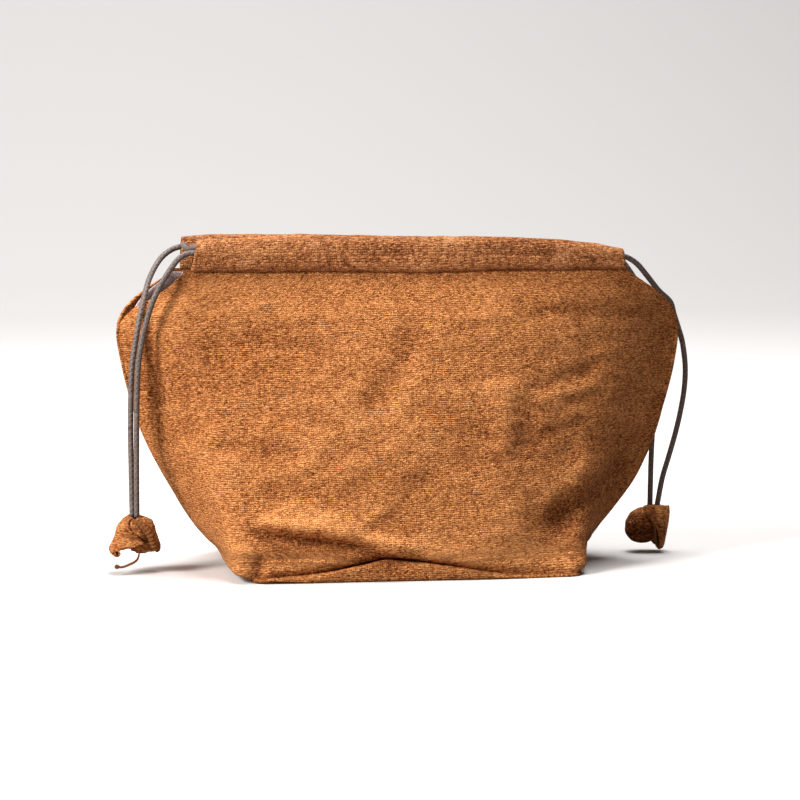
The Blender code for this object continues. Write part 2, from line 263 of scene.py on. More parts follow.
def group_tree(name, inputs, outputs):
    """A new shader node group with its sockets, and its input and output nodes."""
    tree = bpy.data.node_groups.new(name, "ShaderNodeTree")
    for socket, kind, value in inputs:
        made = tree.interface.new_socket(name=socket, in_out="INPUT", socket_type=kind)
        if value is not None:
            made.default_value = value
    for socket in outputs:
        tree.interface.new_socket(name=socket, in_out="OUTPUT", socket_type="NodeSocketFloat")
    return tree, tree.nodes.new("NodeGroupInput"), tree.nodes.new("NodeGroupOutput")


def math_node(tree, operation, *values):
    """A Math node's output."""
    return add_node(tree, "Math", dict(enumerate(values)), operation=operation).outputs["Value"]


def product(tree, first, second):
    """Two values multiplied."""
    return math_node(tree, "MULTIPLY", first, second)


def added(tree, value, share, base):
    """A base value with a share of another added."""
    return math_node(tree, "MULTIPLY_ADD", value, share, base)


def stretched(tree, vector, scale):
    """A vector multiplied axis by axis."""
    return add_node(tree, "VectorMath", {0: vector, 1: scale}, operation="MULTIPLY").outputs["Vector"]


def noise_value(tree, vector, scale, detail=2.0, roughness=0.6):
    """A Noise Texture's value, about 0.25 to 0.75."""
    return add_node(tree, "TexNoise", {"Vector": vector, "Scale": scale, "Detail": detail,
                                       "Roughness": roughness}).outputs["Fac"]


def spread_range(tree, value, low, high, new_low=0.0, new_high=1.0):
    """A value moved from one range to another and clamped."""
    return add_node(tree, "MapRange", {"Value": value, "From Min": low, "From Max": high, "To Min": new_low,
                                       "To Max": new_high}).outputs["Result"]


def full_range(tree, noise):
    """A noise value spread over 0 to 1."""
    return spread_range(tree, noise, 0.36, 0.64)


def split_axes(tree, vector):
    """A vector's parts, by axis name."""
    return add_node(tree, "SeparateXYZ", {"Vector": vector}).outputs


def weave_group():
    """Plain weave on a map in metres: its height, and its tone from yarns that differ along their length, with
    painted light on the threads' crests and painted shade between them.
    """
    tree, start, end = group_tree(
        "plain_weave",
        (("Vector", "NodeSocketVector", None), ("Pitch", "NodeSocketFloat", 0.0008),
         ("Slub", "NodeSocketFloat", 0.5)),
        ("Height", "Tone"),
    )
    vector = start.outputs["Vector"]
    wander = noise_value(tree, vector, 420.0)
    split = split_axes(tree, vector)
    threads = []
    waves = []
    for axis, push in (("X", 1.6), ("Y", 2.0)):
        counted = math_node(tree, "DIVIDE", split[axis], start.outputs["Pitch"])
        bent = added(tree, wander, push, counted)
        threads.append(math_node(tree, "FLOOR", bent))
        waves.append(math_node(tree, "SINE", product(tree, bent, math.pi)))
    yarn_tones = []
    for thread, axis, stretch in ((threads[1], "X", 620.0), (threads[0], "Y", 900.0)):
        place = add_node(tree, "CombineXYZ", {"X": product(tree, split[axis], stretch),
                                              "Y": product(tree, thread, 7.31)})
        yarn_tones.append(full_range(tree, noise_value(tree, place.outputs["Vector"], 1.0)))
    ribs = added(tree, math_node(tree, "ABSOLUTE", waves[0]), 0.35, 0.65)
    bumps = product(tree, math_node(tree, "ABSOLUTE", waves[1]), ribs)
    bumps = math_node(tree, "POWER", bumps, 0.6)
    on_top = spread_range(tree, product(tree, waves[0], waves[1]), -0.25, 0.25, 0.0, 0.42)
    under = product(tree, math_node(tree, "SUBTRACT", 1.0, on_top), yarn_tones[0])
    yarns = math_node(tree, "ADD", product(tree, on_top, yarn_tones[1]), under)
    slubs = full_range(tree, noise_value(tree, stretched(tree, vector, (0.8, 3.4, 1.0)), 400.0, 3.0, 0.72))
    lint = full_range(tree, noise_value(tree, stretched(tree, vector, (0.62, 1.75, 1.0)), 1500.0, 2.0, 0.7))
    rough = added(tree, slubs, start.outputs["Slub"], bumps)
    # painted light and shade: the weave's bumps lighten the tone on the threads' crests and darken it between
    # the threads
    tone = product(tree, bumps, 0.10)
    for part, share in ((yarns, 0.32), (slubs, 0.26), (lint, 0.36)):
        tone = added(tree, part, share, tone)
    feed_all(tree, end, {"Height": added(tree, yarns, 0.5, rough), "Tone": tone})
    return tree


def mottle_group():
    """Uneven washed colour on the bag's own coordinates: broad clouds with finer patches in them."""
    tree, start, end = group_tree(
        "washed_mottle",
        (("Vector", "NodeSocketVector", None), ("Scale", "NodeSocketFloat", 60.0)),
        ("Value",),
    )
    wide = noise_value(tree, start.outputs["Vector"], start.outputs["Scale"], 4.0, 0.62)
    feed_all(tree, end, {"Value": spread_range(tree, wide, 0.3, 0.7)})
    return tree


def place_group(tree, group, **values):
    """A group node's outputs, with its inputs fed."""
    return add_node(tree, "Group", values, node_tree=group).outputs


def mottled(tree, vector, scale):
    """The mottle's value at a scale."""
    return place_group(tree, mottle_nodes, Vector=vector, Scale=scale)["Value"]


def add_bump(tree, shader, height, strength, distance):
    """Feeds a Bump node into the shader's normal."""
    node = add_node(tree, "Bump", {"Strength": strength, "Distance": distance, "Height": height})
    tree.links.new(node.outputs["Normal"], shader.inputs["Normal"])


def coordinates(tree):
    """The piece's own map in metres, and its Object coordinates."""
    outputs = add_node(tree, "TexCoord", {}).outputs
    return outputs["UV"], outputs["Object"]


def woven_material(name, dark, middle, light, pitch, slub, fade, fold, sheen):
    """Cloth with threads, slubs and mottling, with painted light on its ridges and painted shade in its
    hollows.
    """
    material, tree, shader = new_material(name)
    map_metres, object_metres = coordinates(tree)
    weave = place_group(tree, weave_nodes, Vector=map_metres, Pitch=pitch, Slub=slub)
    clouds = mottled(tree, object_metres, 60.0)
    patches = mottled(tree, object_metres, 230.0)
    shifted_tone = weave["Tone"]
    for uneven, share in ((patches, 0.09), (clouds, 0.07)):
        shifted_tone = added(tree, math_node(tree, "SUBTRACT", uneven, 0.5), share, shifted_tone)
    # painted shade and light: the fold attribute darkens the colour in the cloth's hollows and lightens it on
    # its ridges
    painted_fold_shade = add_node(tree, "Attribute", {}, attribute_name="fold")
    shifted_tone = added(tree, painted_fold_shade.outputs["Fac"], fold, shifted_tone)
    lower = color_mix(tree, spread_range(tree, shifted_tone, 0.24, 0.50), (*dark, 1), (*middle, 1))
    threads = color_mix(tree, spread_range(tree, shifted_tone, 0.50, 0.80), lower, (*light, 1))
    pale = [part + (1 - part) * 0.14 for part in light]
    faded = spread_range(tree, product(tree, clouds, patches), 0.30, 0.62, 0.0, fade)
    feed_all(tree, shader, {
        "Base Color": color_mix(tree, faded, threads, (*pale, 1)),
        "Roughness": spread_range(tree, weave["Tone"], 0.2, 0.8, 0.98, 0.84),
        "Specular IOR Level": 0.18, "Sheen Weight": sheen, "Sheen Roughness": 0.5, "Sheen Tint": (*light, 1),
    })
    add_bump(tree, shader, weave["Height"], 1.0, 0.00055)
    return material


def braided_material(name):
    """Waxed braided string: slanted strands both ways and fine speckle, with painted highlight where the
    strands and specks stand high.
    """
    strand_length = 0.0021
    strands_round = 3
    material, tree, shader = new_material(name)
    map_metres, object_metres = coordinates(tree)
    split = split_axes(tree, map_metres)
    along = product(tree, split["Y"], 2 * math.pi / strand_length)
    around = product(tree, split["X"], 2 * math.pi * strands_round)
    strands = math_node(tree, "MAXIMUM", *(math_node(tree, "SINE", math_node(tree, slant, along, around))
                                           for slant in ("ADD", "SUBTRACT")))
    fuzz = noise_value(tree, object_metres, 2200.0)
    # painted highlight: the tone rises with the speckle and the strands that also raise the bump, so raised
    # places are painted paler
    tone = added(tree, fuzz, 1.4, product(tree, strands, 0.16))
    color = color_mix(tree, spread_range(tree, tone, 0.40, 1.15), (0.070, 0.056, 0.052, 1),
                      (0.25, 0.205, 0.190, 1))
    stains = spread_range(tree, mottled(tree, object_metres, 180.0), 0.3, 0.9, 0.0, 0.5)
    feed_all(tree, shader, {
        "Base Color": color_mix(tree, stains, color, (0.10, 0.075, 0.068, 1)),
        "Roughness": spread_range(tree, fuzz, 0.3, 0.7, 0.42, 0.68), "Specular IOR Level": 0.5,
    })
    add_bump(tree, shader, added(tree, fuzz, 0.5, strands), 0.6, 0.00012)
    return material


def wadding_material(name):
    """White needled wadding: short tangled fibres."""
    material, tree, shader = new_material(name)
    fibres = noise_value(tree, stretched(tree, coordinates(tree)[1], (1.0, 1.0, 3.0)), 900.0, 4.0, 0.7)
    color = color_mix(tree, spread_range(tree, fibres, 0.3, 0.7), (0.66, 0.63, 0.58, 1), (0.86, 0.84, 0.80, 1))
    feed_all(tree, shader, {"Base Color": color, "Roughness": 0.95})
    add_bump(tree, shader, fibres, 0.8, 0.0006)
    return material


weave_nodes = weave_group()
mottle_nodes = mottle_group()
rust_cloth = woven_material("rust_cloth", (0.125, 0.029, 0.006), (0.520, 0.174, 0.047), (0.960, 0.430, 0.150),
                            0.00082, 0.60, 0.06, 0.12, 0.06)
casing_cloth = woven_material("rust_casing_cloth", (0.120, 0.032, 0.009), (0.470, 0.163, 0.053),
                              (0.920, 0.430, 0.175), 0.00082, 0.60, 0.20, 0.14, 0.06)
lilac_lining = woven_material("lilac_lining", (0.50, 0.350, 0.355), (0.74, 0.550, 0.555), (0.88, 0.72, 0.725),
                              0.00045, 0.25, 0.05, 0.08, 0.10)
grey_string = braided_material("grey_string")
white_wadding = wadding_material("white_wadding")


# Modelling helpers

def hump(distance, width):
    """A bell curve: 1 at no distance, 0.6 at one width."""
    return np.exp(-0.5 * (distance / width) ** 2)


def eased(share):
    """A share from 0 to 1, with a soft start and end."""
    return share * share * (3 - 2 * share)


def running_lengths(points):
    """How far along a line each of its points lies."""
    return np.concatenate([[0], np.cumsum(np.linalg.norm(np.diff(points, axis=0), axis=1))])


def full_turn(count):
    """Angles once round. The last is the first again, so that a ring closes exactly."""
    angles = np.linspace(0, 2 * math.pi, count + 1)
    angles[-1] = 0
    return angles


def grid_map(across, along):
    """A grid's map in metres, from the places of its columns and rows."""
    return np.stack(np.meshgrid(across, along), axis=2)


def blur_matrix(count, size):
    """Weights that blur a row of numbers by a Gaussian of that many steps."""
    steps = np.arange(count)
    weights = hump(steps[:, None] - steps[None, :], size)
    return weights / weights.sum(axis=1, keepdims=True)


def soft_noise(rows, columns, row_size, column_size, seed):
    """Smooth random numbers on a grid, mostly from -1 to 1, in lumps of the given grid steps."""
    field = np.random.default_rng(seed).standard_normal((rows, columns))
    field = blur_matrix(rows, row_size) @ field @ blur_matrix(columns, column_size).T
    return field / (2.0 * field.std())


def directed_noise(x, z, angle, along, across, seed):
    """Smooth random wrinkles from -1 to 1, drawn out along a direction in the sheet."""
    turned = math.radians(angle)
    first = (x * math.cos(turned) + z * math.sin(turned)) / along + 40
    second = (z * math.cos(turned) - x * math.sin(turned)) / across + 90
    table = np.random.default_rng(seed).uniform(-1, 1, (96, 192))
    row = np.floor(first).astype(int)
    column = np.floor(second).astype(int)
    row_share = eased(first - row)
    column_share = eased(second - column)
    near, far = (table[row % 96, spot % 192] * (1 - row_share)
                 + table[(row + 1) % 96, spot % 192] * row_share
                 for spot in (column, column + 1))
    return near * (1 - column_share) + far * column_share


def smooth_line(points, count):
    """Evenly spaced points along a smooth curve through the given points."""
    known = [Vector(point) for point in points]
    padded = [known[0] * 2 - known[1]] + known + [known[-1] * 2 - known[-2]]
    dense = []
    samples = 16
    for first, second, third, fourth in zip(padded, padded[1:], padded[2:], padded[3:]):
        for step in range(samples):
            t = step / samples
            bend = (first * -1 + second * 3 - third * 3 + fourth) * t ** 3
            bend += (first * 2 - second * 5 + third * 4 - fourth) * t ** 2
            bend += (third - first) * t
            dense.append(second + bend / 2)
    dense.append(known[-1])
    dense = np.array(dense)
    lengths = running_lengths(dense)
    wanted = np.linspace(0, lengths[-1], count)
    return np.stack([np.interp(wanted, lengths, dense[:, axis]) for axis in range(dense.shape[1])], axis=1)


def route_points(*routes):
    """Evenly spaced points, about a millimetre apart, along routes that follow each other."""
    spacing = 0.001
    least_step = 0.0012
    points = []
    for route in routes:
        for point in route:
            if not points or (Vector(point) - Vector(points[-1])).length > least_step:
                points.append(point)
    length = sum((Vector(b) - Vector(a)).length for a, b in zip(points, points[1:]))
    return smooth_line(points, max(8, round(length / spacing)))


def finish_mesh(name, shape, material, body=None):
    """Makes an object of a bmesh, and lets it ride on a body if one is given."""
    mesh = bpy.data.meshes.new(name)
    shape.to_mesh(mesh)
    shape.free()
    mesh.shade_smooth()
    mesh.materials.append(material)
    piece = bpy.data.objects.new(name, mesh)
    bpy.context.scene.collection.objects.link(piece)
    if body:
        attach(piece, body)
    return piece


def placed_grid(points, metres, fold=None, closed=False):
    """A grid of faces whose vertices lie at points[row, column], with a map in metres."""
    rows = points.shape[0] - 1
    columns = points.shape[1] - 1
    shape = bmesh.new()
    bmesh.ops.create_grid(shape, x_segments=columns, y_segments=rows, size=0.5)
    layer = shape.loops.layers.uv.new("UVMap")
    folds = shape.verts.layers.float.new("fold")
    spots = {}
    for vert in shape.verts:
        column = round((vert.co.x + 0.5) * columns)
        row = round((vert.co.y + 0.5) * rows)
        spots[vert] = (row, column)
        vert.co = points[row, column]
        if fold is not None:
            vert[folds] = fold[row, column]
    for face in shape.faces:
        for loop in face.loops:
            loop[layer].uv = metres[spots[loop.vert]]
    if closed:
        bmesh.ops.remove_doubles(shape, verts=shape.verts[:], dist=1e-6)
    return shape


def face_outwards(shape, middle):
    """Turns an open sheet's faces so that most of them look away from a middle point."""
    shape.normal_update()
    votes = sum(1 if face.normal.dot(face.calc_center_median() - middle) > 0 else -1 for face in shape.faces)
    if votes < 0:
        bmesh.ops.reverse_faces(shape, faces=shape.faces[:])


def thicken(piece, thickness, offset=-1.0):
    """Gives a sheet its thickness."""
    wall = piece.modifiers.new("thickness", "SOLIDIFY")
    wall.thickness = thickness
    wall.offset = offset


def close_ends(shape):
    """Fills a tube's open ends and turns its faces outwards."""
    bmesh.ops.holes_fill(shape, edges=[edge for edge in shape.edges if edge.is_boundary], sides=0)
    bmesh.ops.recalc_face_normals(shape, faces=shape.faces[:])
    return shape


def tube_grid(points, radii, sides):
    """A round tube with closed ends along points. Its map runs round in turns and along in metres."""
    points = np.asarray(points, float)
    radii = np.broadcast_to(radii, len(points))
    tangents = np.gradient(points, axis=0)
    tangents /= np.linalg.norm(tangents, axis=1, keepdims=True)
    side = np.cross(tangents[0], (0.3, 0.2, 0.93))
    side /= np.linalg.norm(side)
    grid = np.zeros((len(points), sides + 1, 3))
    angles = full_turn(sides)
    for index, (point, tangent) in enumerate(zip(points, tangents)):
        side = side - tangent * side.dot(tangent)
        side /= np.linalg.norm(side)
        ring = np.outer(np.cos(angles), side) + np.outer(np.sin(angles), np.cross(tangent, side))
        grid[index] = point + ring * radii[index]
    metres = grid_map(np.linspace(0, 1, sides + 1), running_lengths(points))
    return close_ends(placed_grid(grid, metres, closed=True))


# Strings

def string_tube(name, points):
    """A length of string as a round tube with closed ends."""
    return finish_mesh(name, tube_grid(points, string_diameter / 2, string_sides), grey_string)


# Where the loops turn into their runs, how the loops hang, and how the runs start, end and keep apart
loop_places = {"left": {-1: 0.0866, 1: 0.0862}, "right": {-1: -0.0820, 1: -0.0842}}
loop_heights = {"left": 0.1182, "right": 0.1256}
loop_pull = 0.0004
loop_sags = (0.0012, 0.0010, 0.0002)
run_start = 0.96
run_end = 0.97
run_apart = 0.0013
run_steps = 6

# How far a shoulder stretch reaches into its casing, how high that end lies on the left, and how much
# of a tail is its elbow
hidden_end = 0.006
left_end_lift = 0.0008
elbow_half = 0.0072


def run_and_half_loop(label, place, direction, height):
    """One run inside a casing, with its half of the loop that is drawn tight across the other end."""
    side = -1 if place == "front" else 1
    mouth_y = side * casing_spread / 2
    loop_x = loop_places[label][side]
    middle_x = sum(loop_places[label].values()) / 2 - direction * loop_pull
    loop_height = loop_heights[label]
    half_loop = (
        (middle_x, 0, loop_height - loop_sags[0]),
        (middle_x * 0.75 + loop_x * 0.25, side * 0.0045, loop_height - loop_sags[1]),
        (loop_x, side * 0.0100, loop_height - loop_sags[2]),
        (loop_x * run_start, mouth_y * 0.95, loop_height),
    )
    run = []
    for step in range(1, run_steps + 1):
        share = step / run_steps
        run.append((loop_x * run_start * (1 - share) + direction * casing_half * run_end * share,
                    mouth_y + direction * run_apart * math.sin(share * math.pi),
                    loop_height * (1 - share) + height * share))
    points = route_points(half_loop, run)
    piece = string_tube(f"{label}_string_{place}_line", points)
    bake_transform(piece)
    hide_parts(f"{label}_string_{place}_run", f"{label}_string_loop")


def settled(route, moves):
    """A route's points, the first of them moved a little."""
    return tuple(tuple(Vector(point) + Vector(move)) for point, move in zip(route, moves)) + route[len(moves):]


def over_shoulder(label, place, route):
    """The stretch from the casing's end to where the tail hangs free."""
    first = Vector(route[0])
    inside = first + Vector((-hidden_end, 0, 0) if first.x > 0 else (hidden_end, 0, left_end_lift))
    points = route_points((inside,), route)
    piece = string_tube(f"{label}_string_{place}_over", points)
    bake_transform(piece)
    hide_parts(f"{label}_string_{place}_shoulder")
    return piece, points


def elbow(label, place, upper, lower):
    """The few millimetres of string round the point where a tail swings."""
    level = (upper[-1][2] + lower[0][2]) / 2
    near = [point for point in route_points(upper, lower) if abs(point[2] - level) < elbow_half]
    piece = string_tube(f"{label}_string_{place}_elbow", np.array(near))
    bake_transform(piece)
    return piece


def tail(label, place, lower):
    """The free tail, down into its cover."""
    points = route_points(lower)
    piece = string_tube(f"{label}_string_{place}_hang", points)
    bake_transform(piece)
    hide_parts(f"{label}_string_{place}_tail")
    return piece, points


def make_strings():
    """Both strings: runs, loops, shoulders, elbows and tails."""
    sets = (
        ("left", -1, upper_run, left_cover_top,
         {"front": (settled(left_front_upper, left_front_settled), left_front_lower),
          "back": (settled(left_back_upper, left_back_settled), left_back_lower)}),
        ("right", 1, lower_run, right_cover_top,
         {"front": (settled(right_front_upper, right_front_settled), right_front_lower),
          "back": (right_back_upper, right_back_lower)}),
    )
    tails = {}
    for label, direction, height, cover_top, routes in sets:
        for place, (upper, lower) in routes.items():
            run_and_half_loop(label, place, direction, height)
            over, over_points = over_shoulder(label, place, upper)
            joint = elbow(label, place, upper, lower)
            tails[label, place] = tail(label, place, lower)
    return tails


string_tails = make_strings()


# Walls of the bag

def wall_sizes(height):
    """Half the face, half the depth, the side's reach, the bulge and the corner at a height."""
    rise = height / shoulder_height
    curve = math.sin(rise * math.pi / 2)
    half_depth = (base_depth + (shoulder_depth - base_depth) * rise) / 2
    reach = side_reach * curve + side_swell * math.sin(rise * math.pi)
    bulge = face_bulge * curve
    half_face = flat_half - math.hypot(half_depth, reach)
    half_face -= bulge_length_share * bulge ** 2 / half_face
    corner = base_corner + (shoulder_corner - base_corner) * rise
    return half_face, half_depth, reach, bulge, corner


# How far the seams lie outside the even shape, left and right, at some heights
seam_heights = (0.0, 0.008, 0.016, 0.021, 0.030, 0.040, 0.050, 0.060, 0.075, 0.088, 0.095, 0.110)
seam_moves = {
    -1: (0.0, 0.0, 0.0004, -0.0002, -0.0011, -0.0010, -0.0004, 0.0, 0.0002, 0.0, 0.0, 0.0),
    1: (0.0, 0.0012, 0.0019, 0.0020, 0.0026, 0.0021, 0.0018, 0.0012, 0.0012, 0.0006, 0.0, 0.0),
}


def half_outline(height, inset, direction):
    """The front wall's line at a height, from the middle to the right or left seam, as if to the right."""
    half_face, half_depth, reach, bulge, corner_cut = wall_sizes(height)
    reach += np.interp(height, seam_heights, seam_moves[direction])
    corner = np.array((half_face, -half_depth))
    seam = np.array((half_face + reach, 0.0))
    side_start = corner + (seam - corner) / np.linalg.norm(seam - corner) * corner_cut
    face_x = np.linspace(0, half_face - corner_cut, 40)
    face = np.stack([face_x, -half_depth - bulge * (1 - (face_x / half_face) ** 2)], axis=1)
    turn = np.linspace(0, 1, 17)[1:, None]
    bend = (1 - turn) ** 2 * face[-1] + 2 * turn * (1 - turn) * corner + turn ** 2 * side_start
    side = side_start + (seam - side_start) * np.linspace(0, 1, 17)[1:, None]
    line = np.concatenate([face, bend, side])
    if inset:
        along = np.gradient(line, axis=0)
        along /= np.linalg.norm(along, axis=1, keepdims=True)
        line = line + inset * np.stack([-along[:, 1], along[:, 0]], axis=1)
        end = -casing_gap / 2
        seam_x = np.interp(end, line[-17:, 1], line[-17:, 0])
        line = np.concatenate([line[line[:, 1] < end], [[seam_x, end]]])
    return line, running_lengths(line)


def outline_at(height, shares, inset):
    """Points of the front wall at a height. Shares run along the cloth from seam to seam, -1 to 1."""
    points = np.zeros((len(shares), 2))
    for direction in (-1, 1):
        line, lengths = half_outline(height, inset, direction)
        chosen = shares * direction >= 0
        wanted = np.abs(shares[chosen]) * lengths[-1]
        points[chosen, 0] = np.interp(wanted, lengths, line[:, 0]) * direction
        points[chosen, 1] = np.interp(wanted, lengths, line[:, 1])
    return points


# The grid of a wall. Its columns are shares of the cloth's length from seam to seam
wall_rows = 150
wall_columns = 280
wall_shares = np.linspace(-1, 1, wall_columns + 1)
wall_heights = np.linspace(0.0003, casing_foot + 0.0012, wall_rows + 1)

# How the corners are pulled in and back, how far up the flap the left seam stays closed, where the
# seam's share begins, where the flap's tip stands out, and how the turn at the shoulder is softened
pull_inwards = 0.45
pull_backwards = 0.89
pull_fade = 0.027
left_closed_rise = 0.27
seam_zone = 0.72
tip_rise = 0.24
tip_spread = 0.15
row_softening = 0.0052
shoulder_softening = 0.008

# How the cloth stays above the floor: its lowest height, and how much and where the corners rise
lowest_cloth = 0.0002
corner_lift = 0.0009
corner_from = 0.044
corner_fade = 0.012
corner_lift_fade = 0.003

# The relief that counts as a full fold, a crease's share that fades at each end, how much further a
# crease's proud side reaches, and the flat heights
# full_fold also sets the painted shade and light: relief of this size gives the fold attribute its full value,
# -1 in a hollow and 1 on a ridge
full_fold = 0.0022
crease_end = 0.18
proud_spread = 3.2

pull_heights = (0.0, 0.012, 0.030, 0.060, 0.095, 0.115)
wall_forms = {
    "front": {
        "swells": (-0.0014, 0.0036), "casing_foot_halves": (0.0862, 0.0880), "tips": (0.0042, 0.0),
        "pulls": ((0.0, 0.0004, 0.0004, 0.0004, 0.0002, 0.0), (0.0022, 0.0085, 0.0088, 0.0070, 0.0050, 0.0)),
    },
    "back": {
        "swells": (0.0045, 0.0036), "casing_foot_halves": (0.0878, 0.0880), "tips": (0.0, 0.0),
        "pulls": ((0.0005, 0.0020, 0.0022, 0.0020, 0.0010, 0.0), (0.0010, 0.0035, 0.0040, 0.0030, 0.0020, 0.0)),
    },
}


def wall_points(inset, top_inset, form):
    """One smooth layer of the front wall and its flap, with the form's soft corners and flap edges."""
    half_face, _, reach, _, _ = wall_sizes(shoulder_height)
    half_seam = half_face + reach
    left = wall_shares < 0
    swell = np.where(left, *form["swells"]) * wall_shares ** 2
    foot_half = np.where(left, *form["casing_foot_halves"])
    outer = outline_at(shoulder_height, wall_shares, 0)
    tip = np.where(left, *form["tips"])
    closed_rise = np.where(left, left_closed_rise, 0.0)
    near_seam = np.clip((np.abs(wall_shares) - seam_zone) / (1 - seam_zone), 0, 1) ** 2
    points = np.zeros((wall_rows + 1, wall_columns + 1, 3))
    for row, height in enumerate(wall_heights):
        level = min(height, shoulder_height)
        flat = outline_at(level, wall_shares, inset)
        half_face, _, _, bulge, _ = wall_sizes(level)
        corner_at = half_face + bulge_length_share * bulge ** 2 / half_face
        beyond = np.abs(wall_shares) * flat_half - corner_at
        weight = np.where(beyond < 0, np.exp(-(beyond / pull_fade) ** 2),
                          1 - np.clip(beyond / (flat_half - corner_at), 0, 1) ** 2)
        pull = np.where(left, *[np.interp(height, pull_heights, values) for values in form["pulls"]]) * weight
        flat[:, 0] -= pull_inwards * pull * np.sign(wall_shares)
        flat[:, 1] += pull_backwards * pull
        if height > shoulder_height:
            rise = min((height - shoulder_height) / flap_height, 1)
            high_x = outer[:, 0] * foot_half / half_seam
            high_y = np.full(len(wall_shares), -flap_foot_depth + top_inset)
            opened = np.clip((rise - closed_rise) / (1 - closed_rise), 0, 1)
            rise_y = rise + (opened - rise) * near_seam
            lean = np.stack([np.full(len(left), rise), rise_y], axis=1)
            flat = flat + (np.stack([high_x, high_y], axis=1) - flat) * lean
            flat[:, 0] += np.sign(wall_shares) * swell * math.sin(math.pi * rise ** 0.8)
            tip_form = math.exp(-((rise - tip_rise) / tip_spread) ** 2)
            flat[:, 0] += np.sign(wall_shares) * tip * near_seam * tip_form
            flat[:, 1] -= flap_swell * np.sin(math.pi * rise_y)
        points[row, :, :2] = flat
        points[row, :, 2] = height
    step = wall_heights[1] - wall_heights[0]
    softened = np.einsum("rs,scx->rcx", blur_matrix(wall_rows + 1, row_softening / step), points)
    near_shoulder = hump(wall_heights - shoulder_height, shoulder_softening)[:, None, None]
    return points + (softened - points) * near_shoulder


def grid_normals(points):
    """Unit normals of a grid of points, towards the front for the front wall."""
    across = np.gradient(points, axis=1)
    up = np.gradient(points, axis=0)
    normals = np.cross(across, up)
    return normals / np.maximum(np.linalg.norm(normals, axis=2, keepdims=True), 1e-12)


def crease_field(x, z, route, width):
    """How strongly each point feels a crease: 1 on its line, fading across and towards its ends.
    The second result is the side: positive above or left of the line."""
    line = smooth_line([(*point, 0) for point in route], 24)[:, :2]
    best = np.full(x.shape, np.inf)
    share = np.zeros(x.shape)
    side = np.zeros(x.shape)
    for index, (start, end) in enumerate(zip(line, line[1:])):
        step = end - start
        length = step.dot(step)
        along = np.clip(((x - start[0]) * step[0] + (z - start[1]) * step[1]) / length, 0, 1)
        gap_x = x - start[0] - along * step[0]
        gap_z = z - start[1] - along * step[1]
        distance = np.hypot(gap_x, gap_z)
        nearer = distance < best
        best = np.where(nearer, distance, best)
        share = np.where(nearer, (index + along) / (len(line) - 1), share)
        turn = step[0] * gap_z - step[1] * gap_x
        side = np.where(nearer, np.sign(turn) * distance, side)
    ends = eased(np.clip(np.minimum(share, 1 - share) / crease_end, 0, 1))
    return hump(best, width) * ends, side / width


# Creases of the front: the route as (x, z), the depth inwards, the width, and how far the upper
# side stands proud of the lower
front_creases = (
    (((-0.0989, 0.1000), (-0.0988, 0.0830), (-0.0986, 0.0680), (-0.0955, 0.0590)), 0.0016, 0.0013, 0.0),
    (((-0.0985, 0.0660), (-0.0935, 0.0510), (-0.0875, 0.0380)), 0.0006, 0.0016, 0.0),
    (((-0.0850, 0.0850), (-0.0610, 0.0890), (-0.0370, 0.0870), (-0.0200, 0.0820)), 0.0012, 0.0050, 0.0),
    (((0.0020, 0.0980), (-0.0050, 0.0790), (-0.0220, 0.0610)), 0.0013, 0.0036, 0.0),
    (((-0.0820, 0.0455), (-0.0710, 0.0505), (-0.0560, 0.0490), (-0.0400, 0.0470)), 0.0014, 0.0028, 0.0004),
    (((0.0440, 0.0975), (0.0640, 0.0992), (0.0780, 0.0985), (0.1080, 0.0972)), 0.0006, 0.0016, 0.0),
    (((0.0420, 0.0690), (0.0560, 0.0725), (0.0760, 0.0775)), 0.0011, 0.0026, 0.0),
    (((0.0390, 0.0660), (0.0560, 0.0685), (0.0780, 0.0715)), -0.0010, 0.0022, 0.0),
    (((0.0345, 0.0770), (0.0350, 0.0600), (0.0335, 0.0430)), -0.0012, 0.0040, 0.0),
    (((0.0450, 0.0700), (0.0455, 0.0560), (0.0430, 0.0460)), 0.0009, 0.0040, 0.0),
    (((0.0930, 0.0430), (0.0817, 0.0345), (0.0688, 0.0275), (0.0585, 0.0223), (0.0490, 0.0190)),
     0.0022, 0.0038, 0.0),
    (((0.0740, 0.0480), (0.0600, 0.0330), (0.0470, 0.0260)), -0.0010, 0.0045, 0.0),
    (((-0.0660, 0.0215), (-0.0550, 0.0190), (-0.0300, 0.0154), (-0.0090, 0.0108), (0.0020, 0.0088)),
     0.0022, 0.0011, 0.0038),
    (((-0.0560, 0.0260), (-0.0380, 0.0225), (-0.0200, 0.0200)), -0.0010, 0.0034, 0.0),
    (((-0.0590, 0.0120), (-0.0610, 0.0065), (-0.0622, 0.0012)), 0.0014, 0.0017, 0.0),
    (((-0.0655, 0.0140), (-0.0668, 0.0080), (-0.0672, 0.0010)), -0.0013, 0.0022, 0.0),
    (((-0.0655, 0.0020), (-0.0680, 0.0110), (-0.0730, 0.0240)), -0.0014, 0.0030, 0.0),
    (((-0.0600, 0.0330), (-0.0380, 0.0290), (-0.0180, 0.0300)), 0.0007, 0.0040, 0.0),
    (((0.0120, 0.0400), (-0.0030, 0.0330), (-0.0150, 0.0220)), 0.0006, 0.0035, 0.0),
    (((-0.0500, 0.0690), (-0.0350, 0.0640), (-0.0200, 0.0660)), -0.0006, 0.0035, 0.0),
)
